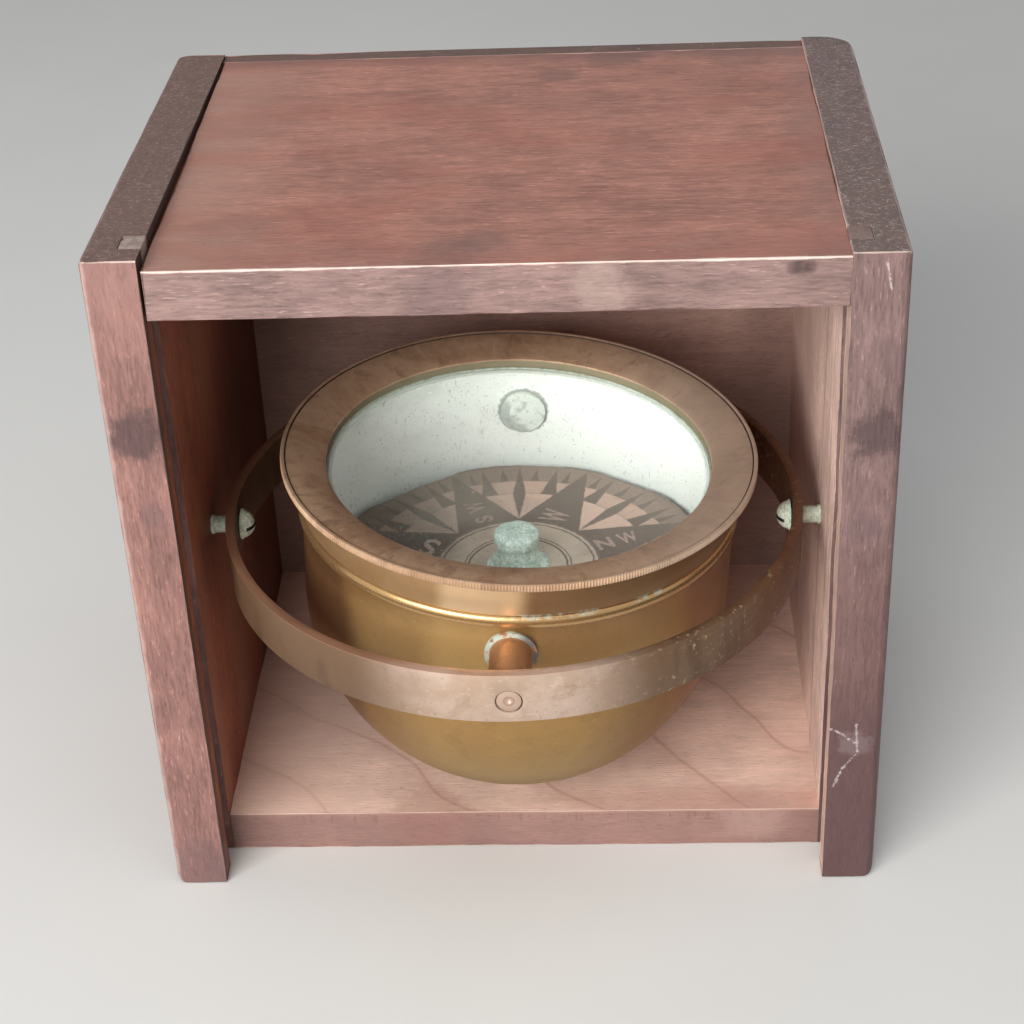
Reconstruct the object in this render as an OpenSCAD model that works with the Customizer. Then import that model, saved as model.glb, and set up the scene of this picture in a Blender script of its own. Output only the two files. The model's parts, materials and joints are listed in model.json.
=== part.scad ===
// Small boat compass: a brass bowl hung in a gimbal ring, in an open wooden box that stands on its end.
// The box's open side faces -Y, +Z is up, and +X is to the right when looking at the open side.
// The origin is under the middle of the whole object, on the surface that it stands on.

/* [Bowl] */
// Outer radius of the bowl's straight wall
bowl_r = 53.5; // [48:0.5:62]
// Thickness of the bowl's wall
wall_t = 1.6; // [1.3:0.1:2.4]
// Depth of the straight wall below the pivots, before the round bottom starts
straight_h = 16.5; // [10:0.5:22]
// Height of the flange that the cover ring screws down to
flange_h = 3.5; // [2.5:0.1:5]
// How far the flange stands out from the wall
flange_out = 1.2; // [0.8:0.1:2]
// How far the screwed neck is cut back from the wall's face
neck_cut = 0.65; // [0.3:0.05:0.8]
// Height of the screwed neck above the flange
neck_h = 5.8; // [4.5:0.1:8]
// Width of the ledge that carries the glass
seat_w = 1.6; // [1:0.1:3]
// Thickness of the ledge that carries the glass
seat_t = 1.5; // [1:0.1:2.5]
// Depth of the ledge below the top of the neck
seat_drop = 1.6; // [1:0.1:2]

/* [Cover ring and glass] */
// Thickness of the glass
glass_t = 2; // [1.8:0.1:3]
// Gap round the edge of the glass
glass_gap = 0.3; // [0.1:0.05:0.6]
// Thickness of the bed of putty between glass and cover ring
putty_t = 0.4; // [0.2:0.1:1]
// How far the putty has squeezed out past the cover ring's edge
putty_out = 0.35; // [0.1:0.05:0.8]
// How far the cover ring reaches in over the bowl's inner face
cover_in = 4.7; // [3:0.1:8]
// Thickness of the cover ring at its inner edge
cover_t = 2.4; // [1.5:0.1:4]
// How much lower the inner edge of the cover ring is than its rim
dish_drop = 2.7; // [1.5:0.1:4]
// How far the milled rim stands out from the bowl's wall
rim_out = 4.8; // [3:0.1:6]
// Height of the milled rim
rim_h = 1.9; // [1.2:0.1:3]
// Width of the raised edge on top of the milled rim
rim_edge_w = 0.8; // [0.5:0.1:1.5]
// Height of the raised edge on top of the milled rim
rim_edge_h = 0.35; // [0.2:0.05:0.8]
// Wall of the cover ring's screwed skirt
skirt_t = 1.15; // [0.8:0.05:1.4]
// Clearance in the cover ring's screw
skirt_gap = 0.1; // [0.05:0.01:0.2]

/* [Gimbal ring] */
// Thickness of the ring's strip
ring_t = 2.3; // [1.6:0.1:4]
// Width of the ring's strip
ring_w = 13; // [10:0.5:18]
// Angle that the bowl swings each way in the ring before it meets the screw heads
bowl_swing = 45; // [30:1:50]
// Room left between the bowl and a screw head at that angle
swing_room = 0.52; // [0.4:0.01:4]

/* [Bowl pivots] */
// Radius of the collar that seats on the bowl
collar_r = 6.2; // [5.6:0.1:7]
// Thickness of the collar
collar_t = 1; // [1:0.1:3]
// Gap between the collar and the bowl's flange above it
collar_gap = 1; // [0.9:0.1:2.5]
// Radius of the arm between collar and ring
arm_r = 5; // [4:0.1:5.5]
// Radius of the journal that turns in the ring
journal_r = 2.85; // [2:0.05:3.5]
// How far the journal's end stays below the ring's outer face
journal_short = 0.1; // [0:0.05:0.5]
// Radius of the centre mark in the journal's end
mark_r = 0.7; // [0.3:0.1:1.2]
// Depth of the centre mark in the journal's end
mark_d = 0.5; // [0.2:0.1:1]
// Radius of the tenon that goes through the bowl's wall
tenon_r = 3; // [2:0.1:3.6]
// Radius of the round nut inside the bowl
nut_r = 6; // [4.6:0.1:7]
// Thickness of the round nut
nut_t = 1.4; // [1:0.1:2]
// Play of a journal or a screw in its hole, on the radius
pivot_play = 0.06; // [0.03:0.01:0.1]
// End play on each side of the ring
end_play = 0.3; // [0.2:0.05:0.6]

/* [How the compass hangs] */
// Angle that the ring hangs at, with its upper side towards the front
ring_lean = 1.6; // [-4:0.1:4]
// Angle that the bowl hangs at in the ring, with its upper side towards the right
bowl_lean = 3.2; // [-5:0.1:5]
// How far to the right of the ring's middle the bowl hangs
bowl_off = 0.9; // [0:0.1:1.2]
// How far the bowl's trunnions stand below the ring's middle
trunnion_drop = 0.8; // [0:0.1:1.2]
// How many times steeper the lead's top slopes than the compass leans, which is what makes it lean
lead_steepness = 2.33; // [1:0.01:3]

/* [Box pivots] */
// Radius of the pivot screw's shank
shank_r = 1.6; // [1.3:0.1:1.8]
// Length of the pivot screw inside the wood
screw_grip = 9.5; // [6:0.5:10.5]
// Length of the pivot screw's point
point_l = 1.6; // [1:0.1:4]
// Radius of the pivot screw's round head
head_r = 3.6; // [2.8:0.1:4]
// Height of the pivot screw's round head
head_h = 2.9; // [2:0.1:3.4]
// Width of the slot in the head
slot_w = 0.9; // [0.6:0.1:1.2]
// Depth of the slot in the head
slot_d = 1.3; // [0.8:0.1:1.6]
// Outer radius of the washer under the screw's head
head_washer_r = 3.9; // [3.2:0.1:4.6]
// Thickness of the washer under the screw's head
head_washer_t = 0.5; // [0.3:0.1:0.8]
// Outer radius of the washer against the side board
wall_washer_r = 2.4; // [2.3:0.1:4]
// Thickness of the washer against the side board
wall_washer_t = 0.8; // [0.4:0.1:1.5]
// Length of the spacer between that washer and the ring
spacer_l = 3.7; // [2:0.1:7]
// Wall of the spacer tube
spacer_wall = 0.45; // [0.35:0.05:0.8]
// Clearance of washers and spacers round the shank
loose_gap = 0.05; // [0.03:0.01:0.2]

/* [Box] */
// Thickness of the two side boards
side_t = 12.8; // [11:0.1:16]
// Thickness of the top board
top_t = 11.8; // [9:0.1:15]
// Thickness of the bottom board
bottom_t = 11.5; // [9:0.1:15]
// Thickness of the back panel
back_t = 5; // [4:0.5:9]
// Height of the left side board's end above the top board
left_proud = 2.6; // [0.4:0.1:4]
// How far the left side board's end falls from front to back
left_fall = 2.2; // [0:0.1:2.2]
// Height of the right side board's end above the top board
right_proud = 0.8; // [0.4:0.1:4]
// Open joint at the left end of the top board
joint_gap = 0.7; // [0.1:0.1:1.5]
// Wood in front of the lid groove
lip_w = 6.7; // [5:0.1:9]
// Width of the lid groove
groove_w = 6.6; // [5:0.1:9]
// Depth of the lid groove in the side boards
groove_d = 5.2; // [4.3:0.1:7]
// Depth of the lid groove across the underside of the top board
end_groove_d = 3.7; // [2:0.1:5]
// Room between the lid's place and the cover ring when the box lies on its back
lid_room = 4.1; // [2:0.1:10]
// Room over the bottom board when ring or bowl stands on edge
bottom_room = 1.5; // [1:0.1:8]
// Room under the top board when ring or bowl stands on edge
top_room = 5.6; // [3:0.1:12]
// Room behind the bowl when the box lies on its back
back_room = 17; // [5:0.5:40]
// Rounding of the side boards' long front edges
front_round = 1.8; // [0.5:0.1:3]
// Rounding of the left side board's long back edge
left_back_round = 4; // [1:0.5:6]
// Rounding of the right side board's long back edge
right_back_round = 9; // [1:0.5:10]
// Rounding of the side boards' lower ends
foot_round = 3; // [0.5:0.1:5]
// Rounding of the side boards' upper ends
end_round = 1.2; // [0.5:0.1:3]

/* [Brads and pins] */
// Radius of the brads that hold the side boards to the top and bottom boards
brad_r = 0.8; // [0.5:0.1:1.2]
// Length of those brads
brad_l = 30; // [22:1:38]
// Depth of their heads below the wood's face
brad_sink = 1; // [0.5:0.1:2]
// Number of brads in each joint
brad_count = 3; // [2:1:4]
// Radius of the pins that hold the back panel
pin_r = 0.6; // [0.4:0.1:0.9]
// Length of those pins
pin_l = 16; // [10:1:20]
// Number of pins along each edge of the back panel
pin_count = 4; // [2:1:6]

/* [Card] */
// Gap between the card's edge and the bowl
card_gap = 2.4; // [2.2:0.1:6]
// Thickness of the card
card_t = 0.5; // [0.3:0.1:1]
// Depth of the card's upper face below the gimbal pivots
card_drop = 15.2; // [8:0.1:18]
// Direction of the card's north point, counted from +X towards +Y
card_heading = 338.5; // [0:0.5:359.5]
// Height of the cap above the card
cap_h = 10.8; // [8.5:0.1:12]
// Radius of the cap's knob
knob_r = 5.7; // [5.3:0.1:6.5]
// Height of the cap's knob
knob_h = 4.2; // [3:0.1:4.4]
// Height of the slope under the knob
knob_slope = 0.6; // [0.3:0.1:0.8]
// Height of the rounding on top of the knob
crown_h = 1.4; // [0.8:0.1:2]
// Width of the rounding on top of the knob
crown_w = 2.6; // [1:0.1:4]
// Radius of the waist under the knob
waist_r = 5; // [4.6:0.1:5.2]
// Radius of the cap's foot
foot_r = 7.8; // [6.8:0.1:10]
// Height of the straight edge of the cap's foot
foot_h = 0.7; // [0.4:0.1:1.5]
// Radius of the cap's threaded stem
stem_r = 3.8; // [3.3:0.1:4.2]
// Length of the stem below the nut under the card
stem_out = 0.6; // [0.2:0.1:2]
// Radius of the hole up the middle of the cap
cap_bore_r = 2; // [1.6:0.1:2.4]
// Height of the jewel's seat above the card
jewel_seat = 4.6; // [3:0.1:5]
// Height of the jewel
jewel_h = 1.6; // [1.2:0.1:2]
// Radius of the cup in the jewel
cup_r = 1.2; // [0.8:0.1:1.4]
// Depth of the cup in the jewel
cup_d = 0.7; // [0.4:0.1:1]
// Radius of the nut under the card, across its corners
cap_nut_r = 6.6; // [5.6:0.1:8]
// Height of the nut under the card
cap_nut_h = 1.8; // [1:0.1:3]
// Length of the bar magnets
magnet_l = 62; // [54:1:74]
// Width of the bar magnets
magnet_w = 3.4; // [2:0.1:5]
// Height of the bar magnets
magnet_h = 1.8; // [1:0.1:3]
// Distance of each magnet's middle line from the middle of the card
magnet_off = 12; // [11.5:0.5:18]
// Distance of the straps from the middle of a magnet
strap_at = 20; // [8:0.5:23]
// Width of the straps that hold the magnets
strap_w = 5; // [3:0.5:8]
// Thickness of those straps
strap_t = 0.4; // [0.3:0.1:0.8]
// Length of the strap's foot on each side of the magnet
strap_foot = 3.6; // [2:0.1:5]

/* [Ballast and pivot post] */
// Height of the lead weight in the bottom of the bowl
ballast_h = 15; // [8:0.5:22]
// Radius of the pivot post's base
post_base_r = 14; // [12:0.5:20]
// Thickness of the pivot post's base
post_base_t = 2.6; // [1.5:0.1:5]
// Radius of the pivot post
post_r = 4; // [3:0.1:5.5]
// Length of the steel pivot pin above its post
needle_l = 15; // [13:0.5:20]
// Radius of the steel pivot pin
needle_r = 0.9; // [0.6:0.1:1.2]
// Length of the pin's point
needle_point = 3; // [1:0.1:5]
// Depth of the pin in its post
needle_grip = 6; // [3:0.5:10]
// Gap between the pin's tip and the jewel's cup
tip_gap = 0.12; // [0.05:0.01:0.3]
// Radius of the base screws' shanks
base_screw_r = 1.2; // [0.8:0.1:1.6]
// Width of the flat on the lead round the post's base
lead_flat = 1; // [0.5:0.1:3]
// Depth of the base screws in the lead
base_screw_l = 6; // [4:0.5:7]
// Radius of the base screws' heads
base_head_r = 2.3; // [1.8:0.1:2.6]
// Height of the base screws' heads
base_head_h = 1.2; // [0.8:0.1:2]

/* [Hidden] */
$fn = 96;
fine = 180;
eps = 0.5;

// Bowl and cover, worked out upwards from the height of the gimbal's pivots
bore_r = bowl_r - wall_t;
bowl_reach = bowl_r + straight_h;
flange_z = collar_r - trunnion_drop + collar_gap;
flange_top = flange_z + flange_h;
neck_r = bowl_r - neck_cut;
neck_top = flange_top + neck_h;
glass_z = neck_top - seat_drop;
glass_r = bore_r - glass_gap;
glass_top = glass_z + glass_t;
cover_z = glass_top + putty_t;
cover_r = bore_r - cover_in;
rim_r = bowl_r + rim_out;
rim_z = cover_z + cover_t + dish_drop;
skirt_in = neck_r + skirt_gap;
skirt_out = skirt_in + skirt_t;

// The screw heads stand clear of the swinging bowl, and the ring stands behind the heads
swing_x = straight_h * sin(bowl_swing);
swing_z = straight_h * cos(bowl_swing);
swing_r = bowl_r + swing_room;
swing_reach = max(swing_x + sqrt(swing_r * swing_r - swing_z * swing_z), norm([rim_r, rim_z]) + swing_room);
head_tip_x = swing_reach + bowl_off;
head_x = head_tip_x + head_h;
head_ball_r = (head_r * head_r + head_h * head_h) / (2 * head_h);
ring_in = norm([head_x + head_washer_t + end_play, head_washer_r]);
ring_out = ring_in + ring_t;
arm_end = sqrt(ring_in * ring_in - pow(arm_r + bowl_off, 2)) - end_play;
journal_end = sqrt(ring_out * ring_out - pow(journal_r + bowl_off, 2)) - journal_short;
saddle_y = sqrt(bowl_r * bowl_r - collar_r * collar_r) - eps;
spacer_x = ring_out + end_play;
wall_washer_x = spacer_x + spacer_l;
wall_x = wall_washer_x + wall_washer_t;
sleeve_r = shank_r + loose_gap;

// Box, built round the compass so that bowl and ring can turn right over inside it
side_x = wall_x + side_t;
reach = max(bowl_reach, norm([ring_out, ring_w / 2]));
pivot_h = bottom_t + bottom_room + reach;
ceiling_z = pivot_h + reach + top_room;
top_z = ceiling_z + top_t;
left_h = top_z + left_proud;
right_h = top_z + right_proud;
groove_back = lip_w + groove_w;
pivot_y = groove_back + lid_room + rim_z;
box_d = pivot_y + bowl_reach + back_room + back_t;
ring_front = ring_out * cos(ring_lean) + ring_w / 2 * abs(sin(ring_lean));
overhang = max(0, ring_front - pivot_y);
front_y = (overhang - box_d) / 2;
groove_y = front_y + lip_w;
centre_y = front_y + pivot_y;
back_y = front_y + box_d;
panel_y = back_y - back_t;
brad_margin = 4;
pin_margin = 6;

// Card and its pivot, counted from the height of the gimbal's pivots
card_r = bore_r - card_gap;
card_z = -card_drop;
card_under = card_z - card_t;
stem_bottom = card_under - cap_nut_h - stem_out;
knob_z = card_z + cap_h - knob_h;
cap_top = card_z + cap_h;
jewel_z = card_z + jewel_seat;
tip_z = jewel_z + cup_d - tip_gap;
post_top = tip_z - needle_l;
ballast_top = wall_t - bowl_reach + ballast_h;
lead_slope = [-ring_lean * lead_steepness, -bowl_lean * lead_steepness, 0];
base_top = ballast_top + post_base_t;
base_screw_at = (post_r + post_base_r) / 2;

// Moves its children to the middle of the gimbal
module at_gimbal() {
    translate([0, centre_y, pivot_h]) children();
}

// Moves its children to the middle of the gimbal and leans them as the ring hangs
module at_ring() {
    at_gimbal() rotate([ring_lean, 0, 0]) children();
}

// Moves its children to the middle of the bowl and leans them as it hangs
module at_bowl() {
    at_ring() in_ring() children();
}

// Moves its children to the bowl's place in the ring
module in_ring() {
    translate([bowl_off, 0, 0]) rotate([0, bowl_lean, 0]) children();
}

// Moves its children from the bowl's middle to its trunnions
module at_trunnions() {
    translate([0, 0, -trunnion_drop]) children();
}

// Moves its children as the bowl hangs, but level, because the card balances on the pin's tip
module at_card() {
    at_bowl() translate([0, 0, tip_z]) rotate([0, -bowl_lean, 0]) rotate([-ring_lean, 0, 0])
        translate([0, 0, -tip_z]) children();
}

// A rod along X from x0 to x1
module rod_x(r, x0, x1) {
    translate([x0, 0, 0]) rotate([0, 90, 0]) cylinder(r = r, h = x1 - x0);
}

// A rod along Y from y0 to y1
module rod_y(r, y0, y1) {
    translate([0, y0, 0]) rotate([-90, 0, 0]) cylinder(r = r, h = y1 - y0);
}

// A rod with a round bottom that is centred where the bowl's straight wall ends
module round_rod(r, top) {
    translate([0, 0, -straight_h]) {
        cylinder(r = r, h = straight_h + top, $fn = fine);
        intersection() {
            sphere(r = r, $fn = fine);
            translate([0, 0, -2 * r]) cylinder(r = 2 * r, h = 2 * r);
        }
    }
}

// What a rounded corner takes away, with the corner at the origin and the wood towards +X and +Y
module corner_waste(r) {
    difference() {
        translate([-eps, -eps]) square(r + eps);
        translate([r, r]) circle(r = r);
    }
}

// The middles of n equal stretches between low and high
function spread(n, low, high) = [for (i = [0 : n - 1]) low + (high - low) * (i + 0.5) / n];

// Brads through the right side board into the top and bottom boards, or their holes with grow past the head
module brad_row(grow) {
    for (y = spread(brad_count, front_y + groove_back + brad_margin, panel_y - brad_margin),
        z = [bottom_t / 2, ceiling_z + top_t / 2])
        translate([0, y, z]) rod_x(brad_r, side_x - brad_sink - brad_l, side_x - brad_sink + grow);
}

module brad_rows(grow) {
    brad_row(grow);
    mirror([1, 0, 0]) brad_row(grow);
}

// Pins through the back panel into the top and bottom boards
module pin_rows() {
    for (x = spread(pin_count, pin_margin - wall_x, wall_x - pin_margin),
        z = [bottom_t / 2, ceiling_z + top_t / 2])
        translate([x, 0, z]) rod_y(pin_r, back_y - pin_l, back_y);
}

// A solid that runs through the box's depth with something to spare, from its outline seen from the front
module run_back(spare) {
    translate([0, back_y + spare, 0]) rotate([90, 0, 0]) linear_extrude(box_d + 2 * spare) children();
}

// The right side board, cut from its outline seen from above, its foot seen from the front and its upper end,
// which falls towards the back
module side_board(height, back_round, fall) {
    color([0.47, 0.33, 0.28]) difference() {
        intersection() {
            linear_extrude(height + eps) difference() {
                translate([wall_x, front_y]) square([side_t, box_d]);
                translate([side_x, front_y]) mirror([1, 0]) corner_waste(front_round);
                translate([side_x, back_y]) rotate(180) corner_waste(back_round);
                translate([wall_x - eps, groove_y]) square([groove_d + eps, groove_w]);
            }
            run_back(eps) difference() {
                translate([wall_x, 0]) square([side_t, height + eps]);
                translate([side_x, 0]) mirror([1, 0]) corner_waste(foot_round);
            }
            translate([0, front_y, height]) rotate([-atan(fall / box_d), 0, 0])
                translate([0, -front_y, -height]) run_back(side_t) difference() {
                    translate([wall_x, -side_t]) square([side_t, height + side_t]);
                    translate([side_x, height]) rotate(180) corner_waste(end_round);
                }
        }
        at_gimbal() rod_x(shank_r, wall_x - eps, wall_x + screw_grip);
        brad_row(brad_sink + eps);
    }
}

module left_side() {
    mirror([1, 0, 0]) side_board(left_h, left_back_round, left_fall);
}

module right_side() {
    side_board(right_h, right_back_round, 0);
}

// The top board carries the lid groove on across its underside
module top_board() {
    color([0.60, 0.36, 0.31]) difference() {
        translate([joint_gap - wall_x, front_y, ceiling_z])
            cube([2 * wall_x - joint_gap, panel_y - front_y, top_t]);
        translate([-side_x, groove_y, ceiling_z - eps]) cube([2 * side_x, groove_w, end_groove_d + eps]);
        brad_rows(0);
        pin_rows();
    }
}

// The bottom board stops behind the grooves, so that the lid can slide in past its front edge
module bottom_board() {
    color([0.72, 0.55, 0.48]) difference() {
        translate([-wall_x, front_y + groove_back, 0])
            cube([2 * wall_x, panel_y - front_y - groove_back, bottom_t]);
        brad_rows(0);
        pin_rows();
    }
}

module back_panel() {
    color([0.42, 0.31, 0.27]) difference() {
        translate([-wall_x, panel_y, 0]) cube([2 * wall_x, back_t, top_z]);
        pin_rows();
    }
}

// Filling pieces in the side boards' grooves above the end of the lid's travel
module groove_plugs() {
    plug_z = ceiling_z + end_groove_d;
    left_end = left_h - left_fall * groove_back / box_d;
    color([0.66, 0.56, 0.49]) {
        translate([wall_x, groove_y, plug_z]) cube([groove_d, groove_w, right_h - plug_z]);
        translate([-wall_x - groove_d, groove_y, plug_z]) cube([groove_d, groove_w, left_end - plug_z]);
    }
}

module joint_brads() {
    color([0.35, 0.33, 0.32]) brad_rows(0);
}

module back_pins() {
    color([0.35, 0.33, 0.32]) pin_rows();
}

// A pivot screw along +X, with its slotted round head inside the ring
module pivot_screw() {
    grip_x = wall_x + screw_grip - point_l;
    color([0.63, 0.70, 0.61]) {
        rod_x(shank_r, head_x - eps, grip_x);
        translate([grip_x, 0, 0]) rotate([0, 90, 0]) cylinder(r1 = shank_r, r2 = shank_r / 4, h = point_l);
        difference() {
            intersection() {
                translate([head_tip_x + head_ball_r, 0, 0]) sphere(r = head_ball_r);
                rod_x(2 * head_r, head_tip_x - eps, head_x);
            }
            translate([head_tip_x - eps, -2 * head_r, -slot_w / 2]) cube([slot_d + eps, 4 * head_r, slot_w]);
        }
    }
}

module pivot_screw_right() {
    at_gimbal() pivot_screw();
}

module pivot_screw_left() {
    at_gimbal() mirror([1, 0, 0]) pivot_screw();
}

// A tube on the pivot screw, from x0 to x1
module sleeve(r, x0, x1) {
    difference() {
        rod_x(r, x0, x1);
        rod_x(sleeve_r, x0 - eps, x1 + eps);
    }
}

module spacer_right() {
    color([0.61, 0.69, 0.60]) at_gimbal() sleeve(sleeve_r + spacer_wall, spacer_x, wall_washer_x);
}

module spacer_left() {
    color([0.61, 0.69, 0.60]) at_gimbal() mirror([1, 0, 0])
        sleeve(sleeve_r + spacer_wall, spacer_x, wall_washer_x);
}

// One washer under each screw head and one against each side board
module pivot_washers() {
    color([0.66, 0.73, 0.64]) at_gimbal() for (side = [0, 1]) mirror([side, 0, 0]) {
        sleeve(head_washer_r, head_x, head_x + head_washer_t);
        sleeve(wall_washer_r, wall_washer_x, wall_x);
    }
}

// A flat strip bent into a ring, bored along X for the pivot screws and along Y for the bowl's journals
module gimbal_ring() {
    color([0.60, 0.47, 0.34]) at_ring() difference() {
        translate([0, 0, -ring_w / 2]) cylinder(r = ring_out, h = ring_w, $fn = fine);
        translate([0, 0, -ring_w / 2 - eps]) cylinder(r = ring_in, h = ring_w + 2 * eps, $fn = fine);
        rod_x(shank_r + pivot_play, -ring_out - eps, ring_out + eps);
        in_ring() at_trunnions() rod_y(journal_r + pivot_play, -ring_out - eps, ring_out + eps);
    }
}

// A round-bottomed shell with a flange, and above it the screwed neck with the ledge for the glass
module bowl_shell() {
    color([0.66, 0.50, 0.27]) at_bowl() difference() {
        union() {
            round_rod(bowl_r, flange_z + eps);
            translate([0, 0, flange_z]) cylinder(r = bowl_r + flange_out, h = flange_h, $fn = fine);
            translate([0, 0, flange_z]) cylinder(r = neck_r, h = flange_h + neck_h, $fn = fine);
        }
        round_rod(bore_r, glass_z - seat_t);
        translate([0, 0, glass_z - seat_t - eps])
            cylinder(r = bore_r - seat_w, h = seat_t + 2 * eps, $fn = fine);
        translate([0, 0, glass_z]) cylinder(r = bore_r, h = seat_drop + eps, $fn = fine);
        at_trunnions() rod_y(tenon_r, -bowl_r - eps, bowl_r + eps);
    }
}

// A point on the cover ring's dished face, at the share t of the way from the glass to the raised edge
function dish(t) = [cover_r + (rim_r - rim_edge_w - cover_r) * t,
    cover_z + cover_t + (dish_drop - rim_edge_h) * sin(90 * t)];

module cover_ring() {
    color([0.58, 0.44, 0.31]) at_bowl() rotate_extrude($fn = fine) polygon(concat(
        [[cover_r, cover_z]],
        [for (t = [0 : 0.125 : 1]) dish(t)],
        [[rim_r - rim_edge_w, rim_z], [rim_r, rim_z], [rim_r, rim_z - rim_h], [skirt_out, rim_z - rim_h],
        [skirt_out, flange_top], [skirt_in, flange_top], [skirt_in, cover_z]]));
}

module glazing_putty() {
    color([0.60, 0.65, 0.58]) at_bowl() translate([0, 0, glass_top]) difference() {
        cylinder(r = glass_r, h = putty_t, $fn = fine);
        translate([0, 0, -eps]) cylinder(r = cover_r - putty_out, h = putty_t + 2 * eps, $fn = fine);
    }
}

module glass() {
    color([0.85, 0.93, 0.90, 0.35]) at_bowl() translate([0, 0, glass_z])
        cylinder(r = glass_r, h = glass_t, $fn = fine);
}

// A turned stud towards -Y: a collar cut to sit on the bowl, the arm, the journal with its centre mark,
// and the tenon behind them
module trunnion() {
    color([0.64, 0.47, 0.30]) {
        difference() {
            rotate([90, 0, 0]) rotate_extrude() polygon([[0, saddle_y], [collar_r, saddle_y],
                [collar_r, bowl_r + collar_t], [arm_r, bowl_r + collar_t], [arm_r, arm_end],
                [journal_r, arm_end], [journal_r, journal_end], [mark_r, journal_end],
                [0, journal_end - mark_d]]);
            translate([0, 0, -2 * collar_r]) cylinder(r = bowl_r, h = 4 * collar_r, $fn = fine);
        }
        rod_y(tenon_r, -bowl_r - eps, nut_t - bore_r);
    }
}

module trunnion_front() {
    at_bowl() at_trunnions() trunnion();
}

module trunnion_rear() {
    at_bowl() at_trunnions() mirror([0, 1, 0]) trunnion();
}

// Round nuts on the tenons, curved to fit the inside of the bowl
module trunnion_nuts() {
    color([0.80, 0.83, 0.78]) at_bowl() at_trunnions() for (side = [0, 1]) mirror([0, side, 0]) difference() {
        intersection() {
            rod_y(nut_r, -bore_r, nut_t - bore_r);
            translate([0, 0, -2 * nut_r]) cylinder(r = bore_r, h = 4 * nut_r, $fn = fine);
        }
        rod_y(tenon_r, -bowl_r, -cover_r / 2);
    }
}

// Three upright rods through the post's base
module base_rods(r, low, high) {
    for (a = [30, 150, 270]) rotate(a) translate([base_screw_at, 0, low]) cylinder(r = r, h = high - low);
}

// Lead cast into the round bottom of the bowl, with a sloping top that is flat under the post's base
module ballast_weight() {
    flat_r = post_base_r + lead_flat;
    color([0.45, 0.45, 0.47]) at_bowl() difference() {
        intersection() {
            round_rod(bore_r, 0);
            union() {
                translate([0, 0, ballast_top]) rotate(lead_slope)
                    translate([0, 0, -2 * bore_r]) cylinder(r = 2 * bore_r, h = 2 * bore_r);
                translate([0, 0, ballast_top - ballast_h]) cylinder(r = flat_r, h = ballast_h);
            }
        }
        translate([0, 0, ballast_top]) cylinder(r = flat_r, h = ballast_h);
        base_rods(base_screw_r, ballast_top - base_screw_l, ballast_top + eps);
    }
}

module pivot_post() {
    color([0.70, 0.55, 0.32]) at_bowl() difference() {
        union() {
            translate([0, 0, ballast_top]) cylinder(r = post_base_r, h = post_base_t);
            translate([0, 0, ballast_top]) cylinder(r = post_r, h = post_top - ballast_top);
        }
        translate([0, 0, post_top - needle_grip]) cylinder(r = needle_r, h = needle_grip + eps);
        base_rods(base_screw_r, ballast_top - eps, base_top + eps);
    }
}

module post_screws() {
    color([0.72, 0.58, 0.35]) at_bowl() {
        base_rods(base_screw_r, ballast_top - base_screw_l, base_top);
        base_rods(base_head_r, base_top, base_top + base_head_h);
    }
}

module pivot_pin() {
    color([0.62, 0.63, 0.65]) at_bowl() rotate_extrude() polygon([[0, post_top - needle_grip],
        [needle_r, post_top - needle_grip], [needle_r, tip_z - needle_point], [0, tip_z]]);
}

module compass_card() {
    color([0.42, 0.35, 0.32]) at_card() translate([0, 0, card_under]) difference() {
        cylinder(r = card_r, h = card_t, $fn = fine);
        translate([0, 0, -eps]) cylinder(r = stem_r, h = card_t + 2 * eps);
    }
}

// Hollow-sided foot, waist and round knob on a threaded stem, bored up the middle for the jewel
module card_cap() {
    foot_z = card_z + foot_h;
    color([0.60, 0.72, 0.67]) at_card() rotate_extrude() polygon(concat(
        [[cap_bore_r, stem_bottom], [stem_r, stem_bottom], [stem_r, card_z], [foot_r, card_z]],
        [for (a = [0 : 15 : 90]) [foot_r - (foot_r - waist_r) * sin(a), knob_z - (knob_z - foot_z) * cos(a)]],
        [[knob_r, knob_z + knob_slope]],
        [for (a = [0 : 15 : 90]) [knob_r - crown_w * (1 - cos(a)), cap_top - crown_h * (1 - sin(a))]],
        [[0, cap_top], [0, jewel_z + jewel_h], [cap_bore_r, jewel_z + jewel_h]]));
}

module cap_jewel() {
    color([0.62, 0.20, 0.24]) at_card() translate([0, 0, jewel_z]) rotate_extrude()
        polygon([[cup_r, 0], [cap_bore_r, 0], [cap_bore_r, jewel_h], [0, jewel_h], [0, cup_d]]);
}

module cap_nut() {
    color([0.66, 0.52, 0.32]) at_card() translate([0, 0, card_under - cap_nut_h]) difference() {
        cylinder(r = cap_nut_r, h = cap_nut_h, $fn = 6);
        translate([0, 0, -eps]) cylinder(r = stem_r, h = cap_nut_h + 2 * eps);
    }
}

// Two bar magnets under the card, on each side of its north-south line
module magnet_bars() {
    color([0.30, 0.31, 0.33]) at_card() rotate(card_heading) for (side = [-1, 1])
        translate([-magnet_l / 2, side * magnet_off - magnet_w / 2, card_under - magnet_h])
            cube([magnet_l, magnet_w, magnet_h]);
}

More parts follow.
